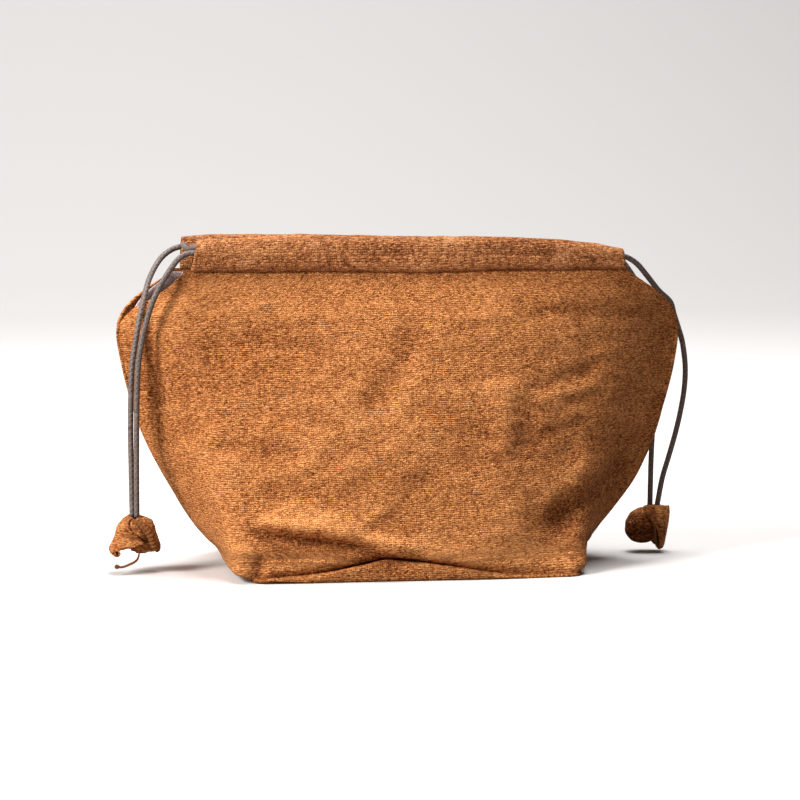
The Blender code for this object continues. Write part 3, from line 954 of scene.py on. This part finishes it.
back_creases = (
    (((-0.0700, 0.0900), (-0.0400, 0.0830), (-0.0150, 0.0860)), 0.0012, 0.0045, 0.0),
    (((0.0750, 0.0760), (0.0480, 0.0640), (0.0250, 0.0660)), 0.0013, 0.0036, 0.0004),
    (((-0.0780, 0.0520), (-0.0630, 0.0350), (-0.0560, 0.0180)), 0.0020, 0.0046, 0.0),
    (((0.0850, 0.0500), (0.0720, 0.0330), (0.0620, 0.0180)), 0.0018, 0.0046, 0.0),
    (((-0.0300, 0.0620), (-0.0220, 0.0480), (-0.0250, 0.0330)), -0.0011, 0.0042, 0.0),
    (((0.0600, 0.0170), (0.0250, 0.0140), (-0.0050, 0.0100)), 0.0008, 0.0014, 0.0018),
    (((0.0986, 0.0980), (0.0982, 0.0800), (0.0960, 0.0620)), 0.0012, 0.0015, 0.0),
    (((-0.0986, 0.0960), (-0.0982, 0.0780), (-0.0950, 0.0600)), 0.0010, 0.0016, 0.0),
)
front_lip = ((-0.0660, 0.0008), (-0.0610, 0.0024), (-0.0360, 0.0056), (-0.0200, 0.0087),
             (-0.0100, 0.0101), (0.0095, 0.0074), (0.0331, 0.0034), (0.0619, 0.0013))
back_lip = ((-0.0660, 0.0012), (-0.0400, 0.0040), (-0.0050, 0.0072), (0.0300, 0.0050), (0.0640, 0.0014))


# A wall's crumpling: the height of its lumps and their size in grid steps, and the height, direction
# in degrees, length and width of its slanted, level and fine wrinkles
wall_lumps = ((0.0010, 11, 17), (0.00045, 4.5, 7.0), (0.00020, 1.8, 3.0))
wall_wrinkles = ((0.00042, 33, 0.015, 0.0042), (0.00030, 4, 0.016, 0.0046), (0.00016, -12, 0.006, 0.0022))

# The lip at a wall's foot: height, place over its line in millimetres and width of each of its forms
lip_forms = ((0.0017, 2.8, 2.4), (-0.0046, -0.3, 0.80), (0.0006, -3.0, 1.2))
lip_drop = (0.0016, 1.1, 1.3)
lip_end = 0.0015
lip_full = 0.008

# How deep the cloth is drawn in at its foot, along the seams and under the casings, and how wide
foot_pull = (0.0009, 0.0012)
seam_pull = (0.0004, 0.0012)
seam_calm = 0.006
casing_pull = (0.0004, 0.006)


def wall_relief(points, creases, lip, seed):
    """Height of the rumpled cloth over its smooth shape, and how the lip at its foot moves down."""
    rows, columns = points.shape[:2]
    x = points[:, :, 0]
    z = points[:, :, 2]
    relief = 0
    for index, (height, row_size, column_size) in enumerate(wall_lumps):
        relief = relief + height * soft_noise(rows, columns, row_size, column_size, seed + index)
    slanted = np.clip((0.012 - x) / 0.03, 0.25, 1) * np.clip((0.080 - z) / 0.03, 0.2, 1)
    shares = (slanted, 1 - 0.6 * slanted, 1)
    for index, (share, (height, *wrinkle)) in enumerate(zip(shares, wall_wrinkles), len(wall_lumps)):
        relief += height * share * directed_noise(x, z, *wrinkle, seed + index)
    relief *= np.clip((z - 0.001) / 0.008, 0.25, 1)
    for route, depth, width, proud in creases:
        feel, _ = crease_field(x, z, route, width)
        relief -= depth * feel
        if proud:
            reach, far_side = crease_field(x, z, route, width * proud_spread)
            relief += proud * reach * np.tanh(far_side * proud_spread)
    line = smooth_line([(*point, 0) for point in lip], 60)
    lip_height = np.interp(x, line[:, 0], line[:, 1], left=lip_end, right=lip_end)
    above = (z - lip_height) * 1000
    lip_share = np.clip(lip_height / lip_full, 0.25, 1)
    *forms, drop = (lip_share * height * hump(above - place, width)
                    for height, place, width in (*lip_forms, lip_drop))
    for form in forms:
        relief += form
    relief -= foot_pull[0] * np.exp(-z / foot_pull[1])
    seam = flat_half * (1 - np.abs(wall_shares))
    relief *= np.clip(seam / seam_calm, 0.1, 1)
    relief -= seam_pull[0] * hump(seam, seam_pull[1]) * (z < shoulder_height)
    under_casing = np.clip((z - (casing_foot - casing_pull[1])) / casing_pull[1], 0, 1)
    return relief * (1 - under_casing) - casing_pull[0] * under_casing, drop


def lowest_near(field, reach):
    """The lowest value within some grid steps of each point, for what lies under a crumpled sheet."""
    lowest = field.copy()
    for axis in (0, 1):
        base = lowest.copy()
        for step in range(1, reach + 1):
            for direction in (step, -step):
                lowest = np.minimum(lowest, np.roll(base, direction, axis))
    return lowest


def wall_layer(place, name, layer, material, thickness, part_of_wall, body=None):
    """One layer of a wall as an object: a part of the grid, moved by the wall's relief."""
    rows, columns = part_of_wall
    inset, top_inset = layer
    wall = walls[place]
    relief = wall["relief"]
    if inset:
        relief = lowest_near(relief, 4)
    points = wall_points(inset, top_inset, wall_forms[place])
    points += grid_normals(points) * relief[:, :, None]
    heights = np.maximum(points[:, :, 2] - wall["drop"], lowest_cloth + inset)
    near_corner = np.clip((np.abs(points[:, :, 0]) - corner_from) / corner_fade, 0, 1)
    points[:, :, 2] = heights + corner_lift * near_corner * np.exp(-heights / corner_lift_fade)
    points[:, :, 1] = np.minimum(points[:, :, 1], -casing_gap / 2) * wall["side"]
    metres = grid_map(wall_shares * flat_half, running_lengths(points[:, wall_columns // 2]))
    # painted shade and light: the relief is kept as the fold attribute, which darkens the cloth's colour in
    # creases and hollows and lightens it on ridges
    fold = np.clip(relief / full_fold, -1, 1)
    shape = placed_grid(points[rows, columns], metres[rows, columns], fold[rows, columns])
    face_outwards(shape, Vector((0, 0, 0.05)))
    piece = finish_mesh(name, shape, material, body)
    thicken(piece, thickness)
    return piece


def make_wall(place, side, creases, lip, seed):
    """The outer cloth, the lining and the wadding of a wall and its flap."""
    smooth = wall_points(0, 0, wall_forms[place])
    relief, drop = wall_relief(smooth, creases, lip, seed)
    walls[place] = {"relief": relief, "drop": drop, "side": side}
    cloth = wall_layer(place, f"{place}_cloth", (0, 0), rust_cloth, cloth_thickness, whole_wall)
    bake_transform(cloth)
    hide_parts(f"{place}_panel", f"{place}_flap")
    lining = wall_layer(place, f"{place}_lining_cloth", (lining_face, wadding_face), lilac_lining,
                        lining_thickness, lining_part)
    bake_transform(lining)
    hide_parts(f"{place}_lining", f"{place}_flap_lining")
    wadding = wall_layer(place, f"{place}_wadding_pad", (wadding_face, wadding_face), white_wadding,
                         wadding_thickness, wadding_part, "root")
    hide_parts(f"{place}_wadding")


walls = {}
whole_wall = (slice(0, None), slice(0, None))
lining_part = (slice(10, wall_rows - 1, 2), slice(0, None, 2))
wadding_part = (slice(10, 118, 4), slice(4, -4, 4))
make_wall("front", 1, front_creases, front_lip, 5)
make_wall("back", -1, back_creases, back_lip, 61)


# The base's rings, the first ring's size in rings, the radius within which its hole is filled, and how
# uneven the base is
base_rings = 24
base_hub = 0.02
hub_radius = 0.004
base_unevenness = 0.00025


def base_layer(name, node, inset, height, thickness, material):
    """A flat layer of the base, with its edge on the walls' inner face."""
    level = int(np.searchsorted(wall_heights, height))
    front = wall_points(inset, inset, wall_forms["front"])[level, ::2, :2]
    back = wall_points(inset, inset, wall_forms["back"])[level, ::-2, :2] * (1, -1)
    rim = np.concatenate([front, back[1:]])
    points = np.zeros((base_rings + 1, len(rim), 3))
    for ring in range(base_rings + 1):
        points[ring, :, :2] = rim * (ring + base_hub) / (base_rings + base_hub)
        points[ring, :, 2] = height
    relief = base_unevenness * soft_noise(base_rings + 1, len(rim), 4, 6, 31)
    relief[:, -1] = relief[:, 0]
    points[:, :, 2] += np.abs(relief)
    shape = placed_grid(points, points[:, :, :2].copy(), closed=True)
    bmesh.ops.holes_fill(shape, edges=[edge for edge in shape.edges if edge.is_boundary
                                       and edge.verts[0].co.xy.length < hub_radius], sides=0)
    bmesh.ops.recalc_face_normals(shape, faces=shape.faces[:])
    if sum(face.normal.z for face in shape.faces) < 0:
        bmesh.ops.reverse_faces(shape, faces=shape.faces[:])
    piece = finish_mesh(name, shape, material, "root")
    thicken(piece, thickness, 1.0)
    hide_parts(node)
    return piece


base_cloth = base_layer("base_cloth", "base_panel", 0.0022, 0.0, cloth_thickness * 0.8, rust_cloth)
base_wadding = base_layer("base_wadding_pad", "base_wadding", 0.0040, 0.0013, wadding_thickness, white_wadding)
base_lining = base_layer("base_lining_cloth", "base_lining", 0.0052, 0.0040, lining_thickness, lilac_lining)


# Casings

# The channel's cloth opened flat, half its depth, and how far its foot hangs over the seam
casing_flat_height = 0.034
casing_half_width = 0.0038
casing_hang = 0.0009


def casing_tube(place, side, left, right, foot_line, top_line, seed):
    """The sewn channel at a flap's top: an oval tube with a heavy foot that hangs over its seam.
    Each end is given by its place at the top and at the foot."""
    around, along = 56, 210
    angles = full_turn(around)
    grid = np.zeros((along + 1, around + 1, 3))
    up = np.sin(angles)
    out = np.sign(np.cos(angles)) * np.abs(np.cos(angles)) ** 0.85
    width = casing_half_width * (0.84 + 0.16 * up)
    hang = casing_hang * np.clip(out, 0, 1) * np.clip(-up, 0, 1)
    lumps = soft_noise(along + 1, around + 1, 9, 5, seed) * 0.00028
    lumps += soft_noise(along + 1, around + 1, 2.2, 2.2, seed + 1) * 0.00012
    lumps[:, -1] = lumps[:, 0]
    places = []
    for row, share in enumerate(np.linspace(0, 1, along + 1)):
        foot = np.interp(share, *foot_line)
        top = np.interp(share, *top_line)
        half = (top - foot) / 2
        slant = (left[0] - left[1]) * (1 - share) / 2 + (right[0] - right[1]) * share / 2
        x = (left[0] + left[1]) / 2 + ((right[0] + right[1]) / 2 - (left[0] + left[1]) / 2) * share
        places.append(x)
        grid[row, :, 0] = x + slant * up
        grid[row, :, 1] = -side * casing_spread / 2 - side * width * out * (1 + lumps[row] / 0.004)
        grid[row, :, 2] = foot + half + half * up * (1 + lumps[row] / 0.005) - hang
    metres = grid_map(np.linspace(0, casing_flat_height, around + 1), places)[:, :, ::-1]
    # painted shade and light: the lumps are kept as the fold attribute, which darkens the channel's colour in
    # hollows and lightens it on bumps
    shape = placed_grid(grid, metres, np.clip(lumps / 0.0005, -1, 1), closed=True)
    bmesh.ops.recalc_face_normals(shape, faces=shape.faces[:])
    middle = (grid[along // 2].max(axis=0) + grid[along // 2].min(axis=0)) / 2
    votes = sum(face.normal.yz.dot(Vector(face.calc_center_median()).yz - Vector(middle).yz)
                for face in shape.faces)
    if votes < 0:
        bmesh.ops.reverse_faces(shape, faces=shape.faces[:])
    piece = finish_mesh(f"{place}_channel", shape, casing_cloth, f"{place}_mouth")
    thicken(piece, cloth_thickness)
    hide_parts(f"{place}_casing")


casing_tube("front", 1, (-0.0812, -0.0832), (0.0860, 0.0872),
            ((0, 0.1, 0.5, 0.85, 1), (0.1166, 0.1158, 0.1154, 0.1158, 0.1161)),
            ((0, 0.02, 0.15, 0.5, 0.7, 0.85, 0.93, 1),
             (0.1274, 0.1285, 0.1289, 0.1291, 0.1289, 0.1278, 0.1262, 0.1238)), 21)
casing_tube("back", -1, (-0.0845, -0.0852), (0.0845, 0.0858),
            ((0, 0.5, 1), (0.1160, 0.1155, 0.1150)),
            ((0, 0.03, 0.3, 0.58, 0.75, 0.9, 1), (0.1288, 0.1294, 0.1290, 0.1279, 0.1262, 0.1244, 0.1230)), 27)


# Knots and covers on the string ends

# The crumpling that counts as a full fold, whose painted shade in hollows and painted light on bumps are
# fullest, and the grid and ripples of a rolled hem
full_lump = 1.5
roll_points = 90
roll_sides = 14
ripples = 11


def net_sheet(name, net, rows, columns, relief, seed, body, thickness=cloth_thickness):
    """A small sheet of crumpled cloth through a net of points in millimetres."""
    crossed = np.array([smooth_line([Vector(point) / 1000 for point in line], columns + 1) for line in net])
    grid = np.stack([smooth_line([Vector(point) for point in crossed[:, column]], rows + 1)
                     for column in range(columns + 1)], axis=1)
    lumps = soft_noise(rows + 1, columns + 1, 4.0, 5.0, seed)
    lumps = lumps + 0.5 * soft_noise(rows + 1, columns + 1, 1.6, 1.8, seed + 1)
    grid += grid_normals(grid) * (relief * lumps)[:, :, None]
    metres = grid_map(running_lengths(grid[rows // 2]), running_lengths(grid[:, columns // 2]))
    # painted shade and light: the lumps are kept as the fold attribute, which darkens the cloth's colour in
    # hollows and lightens it on bumps
    shape = placed_grid(grid, metres, np.clip(lumps / full_lump, -1, 1))
    face_outwards(shape, Vector(grid.reshape(-1, 3).mean(axis=0)) + Vector((0, 0.004, 0)))
    piece = finish_mesh(name, shape, rust_cloth, body)
    thicken(piece, thickness)
    return piece


def cloth_roll(name, points, radii, ripple, body):
    """A rolled hem or a thread: a tube through points in millimetres, rippled where it has stitches."""
    line = smooth_line([Vector(point) / 1000 for point in points], roll_points)
    share = np.linspace(0, 1, roll_points)
    sizes = np.interp(share, np.linspace(0, 1, len(radii)), radii) / 1000
    sizes = sizes * (1 + ripple * np.sin(share * 2 * math.pi * ripples))
    return finish_mesh(name, tube_grid(line, sizes, roll_sides), rust_cloth, body)


def shifted(net, top):
    """A net or line of points in millimetres, moved to a cover's top. Heights stay as they are."""
    if isinstance(net[0][0], (int, float)):
        return [(x + top.x * 1000, y + top.y * 1000, z) for x, y, z in net]
    return [shifted(line, top) for line in net]


# The left cover, as it hangs: a cloth bell that is open at the front between its smooth left flap
# and its rolled right edge. Points are in millimetres from the top, heights from the floor.
left_bell = (
    ((-0.6, -2.4, 21.9), (-2.4, -1.2, 22.2), (-1.8, 1.4, 22.4), (0.2, 2.2, 22.4), (2.2, 1.2, 22.2),
     (2.6, -0.8, 21.8), (0.6, -2.4, 21.5)),
    ((-2.9, -4.6, 20.4), (-4.6, -1.8, 20.8), (-3.9, 2.6, 21.0), (0.2, 4.4, 21.1), (4.8, 2.6, 21.0),
     (6.4, -1.4, 20.5), (1.6, -4.9, 19.8)),
    ((-3.0, -5.9, 18.4), (-6.3, -2.3, 18.9), (-5.2, 3.4, 18.6), (0.4, 5.6, 18.4), (6.2, 3.2, 18.8),
     (7.6, -1.6, 18.4), (3.4, -5.3, 17.8)),
    ((-1.9, -6.9, 16.3), (-7.3, -2.9, 16.0), (-6.0, 4.0, 15.8), (0.4, 6.2, 15.6), (6.8, 3.8, 16.0),
     (8.1, -1.4, 15.8), (5.2, -5.2, 15.4)),
    ((0.4, -7.5, 14.4), (-8.1, -3.2, 13.2), (-6.6, 4.4, 13.0), (0.3, 6.8, 12.6), (7.2, 4.4, 13.0),
     (9.2, -1.2, 13.2), (6.4, -4.9, 13.2)),
    ((2.9, -7.8, 12.3), (-8.8, -4.4, 11.0), (-8.1, 4.6, 10.6), (0.2, 7.5, 10.0), (7.8, 4.8, 10.3),
     (10.1, -1.4, 10.9), (7.4, -4.6, 11.0)),
    ((2.2, -7.6, 11.8), (-8.4, -5.9, 9.6), (-9.4, 3.8, 8.8), (0.0, 7.6, 8.2), (8.4, 4.9, 8.4),
     (10.2, -1.4, 9.2), (8.6, -4.2, 8.9)),
)
left_gathers = (
    ((-2.4, -3.4, 20.6), (-0.6, -4.6, 20.4), (1.6, -4.4, 20.0)),
    ((-3.0, -4.2, 18.4), (-0.8, -6.0, 18.6), (2.6, -5.2, 18.2)),
    ((-2.4, -4.8, 16.6), (-0.2, -5.4, 16.9), (3.6, -5.4, 16.6)),
    ((-1.0, -5.2, 15.2), (1.2, -6.2, 15.4), (4.8, -5.0, 15.0)),
    ((0.6, -5.2, 13.8), (2.4, -5.4, 13.8), (5.4, -4.4, 13.9)),
)
left_hem = (
    ((-3.6, -4.6, 12.6), (0.4, -5.6, 12.4), (4.6, -5.0, 11.8), (8.0, -3.2, 11.2)),
    ((-2.8, -4.4, 11.0), (0.2, -6.2, 10.8), (3.6, -5.4, 10.6), (7.6, -3.8, 9.8)),
    ((-1.8, -4.0, 10.0), (0.6, -5.4, 9.2), (3.8, -5.6, 9.2), (7.4, -3.6, 8.6)),
    ((-0.8, -3.4, 9.4), (1.2, -4.6, 8.3), (4.0, -4.4, 7.9), (7.2, -3.0, 8.2)),
)
left_band = ((-1.2, -4.9, 20.9), (1.0, -5.9, 19.9), (3.2, -6.6, 18.2), (4.7, -6.8, 16.4), (5.8, -6.6, 14.4),
             (6.8, -6.1, 12.0), (7.8, -5.4, 10.0), (8.6, -4.8, 9.0))
left_thread = ((1.4, -4.6, 9.6), (1.2, -5.4, 7.8), (0.6, -6.0, 6.0), (-0.8, -6.4, 4.8), (-2.6, -6.6, 4.0),
               (-4.4, -6.6, 3.3), (-5.8, -6.6, 3.0), (-7.0, -6.6, 3.4))


def left_cover(top, body):
    """The left cover's cloth: bell, gathers, hem, curled corner, rolled edge and loose thread."""
    curl_axis = Vector((-8.2, -2.6, 9.1))
    curl_step = Vector((0.25, -1.7, -0.15))
    curl_net = []
    for step in range(4):
        axis = curl_axis + curl_step * step
        curl_net.append([(axis.x + (2.05 - 0.12 * turn) * math.cos(turn + 1.3),
                          axis.y, axis.z + (2.05 - 0.12 * turn) * math.sin(turn + 1.3))
                         for turn in np.linspace(0.15, 1.45, 12) * 2 * math.pi])
    covered = [net_sheet(f"left_cover_{name}", shifted(net, top), rows, columns, relief, seed, body, thickness)
               for name, net, rows, columns, relief, seed, thickness in (
                   ("cloth", left_bell, 44, 150, 0.00016, 41, cloth_thickness),
                   ("gathers", left_gathers, 26, 30, 0.00045, 43, cloth_thickness),
                   ("hem", left_hem, 20, 44, 0.00040, 45, cloth_thickness),
                   ("curl", curl_net, 14, 60, 0.00006, 47, 0.0006))]
    end = left_thread[-1]
    tie = [(end[0] + x, end[1] + y, end[2] + z)
           for x, y, z in ((0.4, 0, -0.5), (-0.5, -0.2, 0), (-0.9, 0, 0.6))]
    covered += [cloth_roll(f"left_cover_{name}", shifted(line, top), radii, ripple, body)
                for name, line, radii, ripple in (
                    ("roll", left_band, (0.7, 1.15, 1.3, 1.3, 1.35, 1.4, 1.0), 0.10),
                    ("thread", left_thread, (0.30, 0.36, 0.48, 0.50, 0.50, 0.48, 0.40), 0.12),
                    ("thread_knot", tie, (0.5, 0.95, 0.95, 0.4), 0.0))]
    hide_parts("left_string_cover")
    return covered


# The right cover, as it hangs: a gathered puff at the left and a pointed flap at the right
right_bell = (
    ((-0.6, -2.0, 18.6), (-2.2, -0.4, 18.8), (-1.0, 1.8, 18.9), (1.6, 1.6, 18.9), (2.8, 0.2, 18.8),
     (2.2, -1.6, 18.6)),
    ((-2.0, -3.8, 17.4), (-4.2, -0.4, 17.8), (-2.4, 3.8, 17.8), (3.2, 3.6, 17.9), (5.4, 0.4, 18.0),
     (4.2, -2.9, 17.8)),
    ((-1.4, -4.6, 13.4), (-4.8, -0.4, 14.0), (-2.8, 5.4, 13.8), (4.2, 4.8, 14.0), (6.1, 0.6, 14.4),
     (4.8, -3.0, 14.2)),
    ((-0.2, -4.4, 9.0), (-4.6, -0.2, 9.6), (-2.6, 6.2, 9.0), (4.4, 5.2, 9.6), (6.0, 0.8, 10.0),
     (4.4, -2.8, 9.6)),
    ((0.4, -4.2, 5.6), (-3.6, 0.0, 6.2), (-2.2, 5.4, 5.8), (3.8, 4.6, 6.0), (5.2, 0.4, 6.0), (3.8, -2.8, 5.6)),
    ((0.2, -4.4, 3.0), (-0.6, -2.8, 3.8), (0.2, 0.4, 4.4), (2.6, 0.8, 4.4), (3.6, -1.6, 4.0), (3.0, -3.6, 3.0)),
)
right_flap = (
    ((-4.9, -3.0, 19.0), (-1.4, -4.6, 19.2), (2.6, -4.2, 19.1), (6.2, -2.0, 18.9)),
    ((-4.0, -4.6, 16.4), (-0.8, -5.6, 16.6), (2.8, -5.0, 16.7), (6.2, -2.6, 16.2)),
    ((-2.2, -5.6, 13.6), (0.4, -6.2, 13.8), (3.2, -5.4, 13.8), (5.9, -2.9, 13.2)),
    ((-0.2, -6.0, 10.8), (1.7, -6.2, 10.9), (3.6, -5.3, 10.8), (5.4, -3.2, 10.6)),
    ((0.9, -5.8, 7.2), (2.1, -5.9, 7.3), (3.4, -5.1, 7.3), (4.7, -3.4, 7.2)),
    ((1.4, -5.4, 3.8), (2.2, -5.4, 3.7), (3.1, -4.9, 3.7), (4.0, -3.8, 3.8)),
    ((1.5, -5.0, 2.0), (2.1, -5.0, 1.8), (2.7, -4.7, 1.8), (3.2, -4.2, 2.1)),
)
right_rim = ((-1.6, -5.5, 13.2), (-0.9, -5.7, 11.0), (-0.5, -5.6, 8.4), (-0.2, -5.4, 5.6), (0.2, -5.2, 3.4),
             (1.0, -5.0, 2.1), (2.0, -4.8, 1.7))
right_inner = ((0.6, -1.6, 11.7), (1.0, -1.9, 7.3), (1.4, -2.2, 3.6), (1.6, -2.9, 2.1))


def gathered_puff(top, body):
    """The puff of cloth gathered over the right knot: a ball with ridges above and pleats down its sides, its
    colour painted darker towards the bottom as shadow.
    """
    rows, columns = 60, 110
    around = full_turn(columns)
    lumps = soft_noise(rows + 1, columns + 1, 3.0, 4.0, 55)
    lumps[:, -1] = lumps[:, 0]
    grid = np.zeros((rows + 1, columns + 1, 3))
    for row, drop in enumerate(np.linspace(0.03, 0.985, rows + 1)):
        high = math.cos(drop * math.pi)
        wide = math.sin(drop * math.pi) ** (0.72 + 0.35 * max(0, drop - 0.5))
        ridge = 0.11 * math.sin(26 * drop + 0.6) * max(0, 1 - drop / 0.5)
        pleat = 0.07 * np.cos(9 * around + 3.2 * high) * min(1, 1.6 * (1 - drop)) + ridge
        size = wide * (1 + pleat) + 0.035 * lumps[row] * wide
        grid[row, :, 0] = -4.3 + 2.2 * (1 - drop) ** 2 + 7.2 * size * np.cos(around)
        grid[row, :, 1] = 1.4 + 6.2 * size * np.sin(around)
        grid[row, :, 2] = 10.6 + 7.2 * high + 0.2 * lumps[row] * wide
    grid = (grid + (top.x * 1000, top.y * 1000, 0)) / 1000
    metres = grid_map(np.linspace(0, 0.040, columns + 1), np.linspace(0, 0.022, rows + 1))
    # painted shadow: the fold values fall from the top of the puff to its bottom, so its lower part is painted
    # darker, over the painted shade and light of its lumps
    painted_fold_shade = np.clip(lumps / full_lump, -1, 1) - np.linspace(0.2, 2.8, rows + 1)[:, None]
    shape = close_ends(placed_grid(grid, metres, painted_fold_shade, closed=True))
    return finish_mesh("right_cover_puff", shape, rust_cloth, body)


def right_cover(top, body):
    """The right cover's cloth: pointed flap with its rolled rim, the layers behind it and the gathered puff."""
    bell = net_sheet("right_cover_cloth", shifted(right_bell, top), 36, 120, 0.00020, 51, body)
    flap = net_sheet("right_cover_flap", shifted(right_flap, top), 40, 30, 0.00010, 53, body)
    rim_radii = (0.35, 0.5, 0.5, 0.45, 0.45, 0.5, 0.3)
    rim = cloth_roll("right_cover_rim", shifted(right_rim, top), rim_radii, 0.03, body)
    inner = cloth_roll("right_cover_inner_fold", shifted(right_inner, top), (0.5, 1.0, 0.9, 0.35), 0.02, body)
    covered = [bell, flap, rim, inner, gathered_puff(top, body)]
    for index in range(3):
        start = Vector((-7.2 + 1.3 * index, -4.35 - 0.12 * index, 7.0 + 0.9 * index))
        stitch = shifted([start, start + Vector((0.5, -0.25, 0.35)), start + Vector((1.0, 0.0, 0.8))], top)
        covered.append(cloth_roll(f"right_cover_stitch_{index + 1}", stitch, (0.12, 0.24, 0.12), 0.0, body))
    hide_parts("right_string_cover")
    return covered


# The knots: their depth below a cover's top, their winding and their string
knot_drop = 0.0052
knot_ring = 0.0021
knot_wave = 0.0009
knot_height = 0.0011
knot_radius = 0.0010
knot_sides = 10
knot_steps = 60


def string_knot(label, top):
    """An overhand knot: a short string wound twice through itself."""
    middle = top - Vector((0, 0, knot_drop))
    points = []
    for step in range(knot_steps + 1):
        angle = 2 * math.pi * step / knot_steps
        ring = knot_ring + knot_wave * math.cos(3 * angle)
        points.append((middle.x + ring * math.cos(2 * angle), middle.y + ring * math.sin(2 * angle),
                       middle.z + knot_height * math.sin(3 * angle)))
    shape = tube_grid(points, knot_radius, knot_sides)
    piece = finish_mesh(f"{label}_knot", shape, grey_string, f"{label}_end")
    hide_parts(f"{label}_string_knot")
    return piece


for label, top, make_cover in (("left", left_cover_top, left_cover), ("right", right_cover_top, right_cover)):
    covered = make_cover(top, f"{label}_end")
    covered.append(string_knot(label, top))
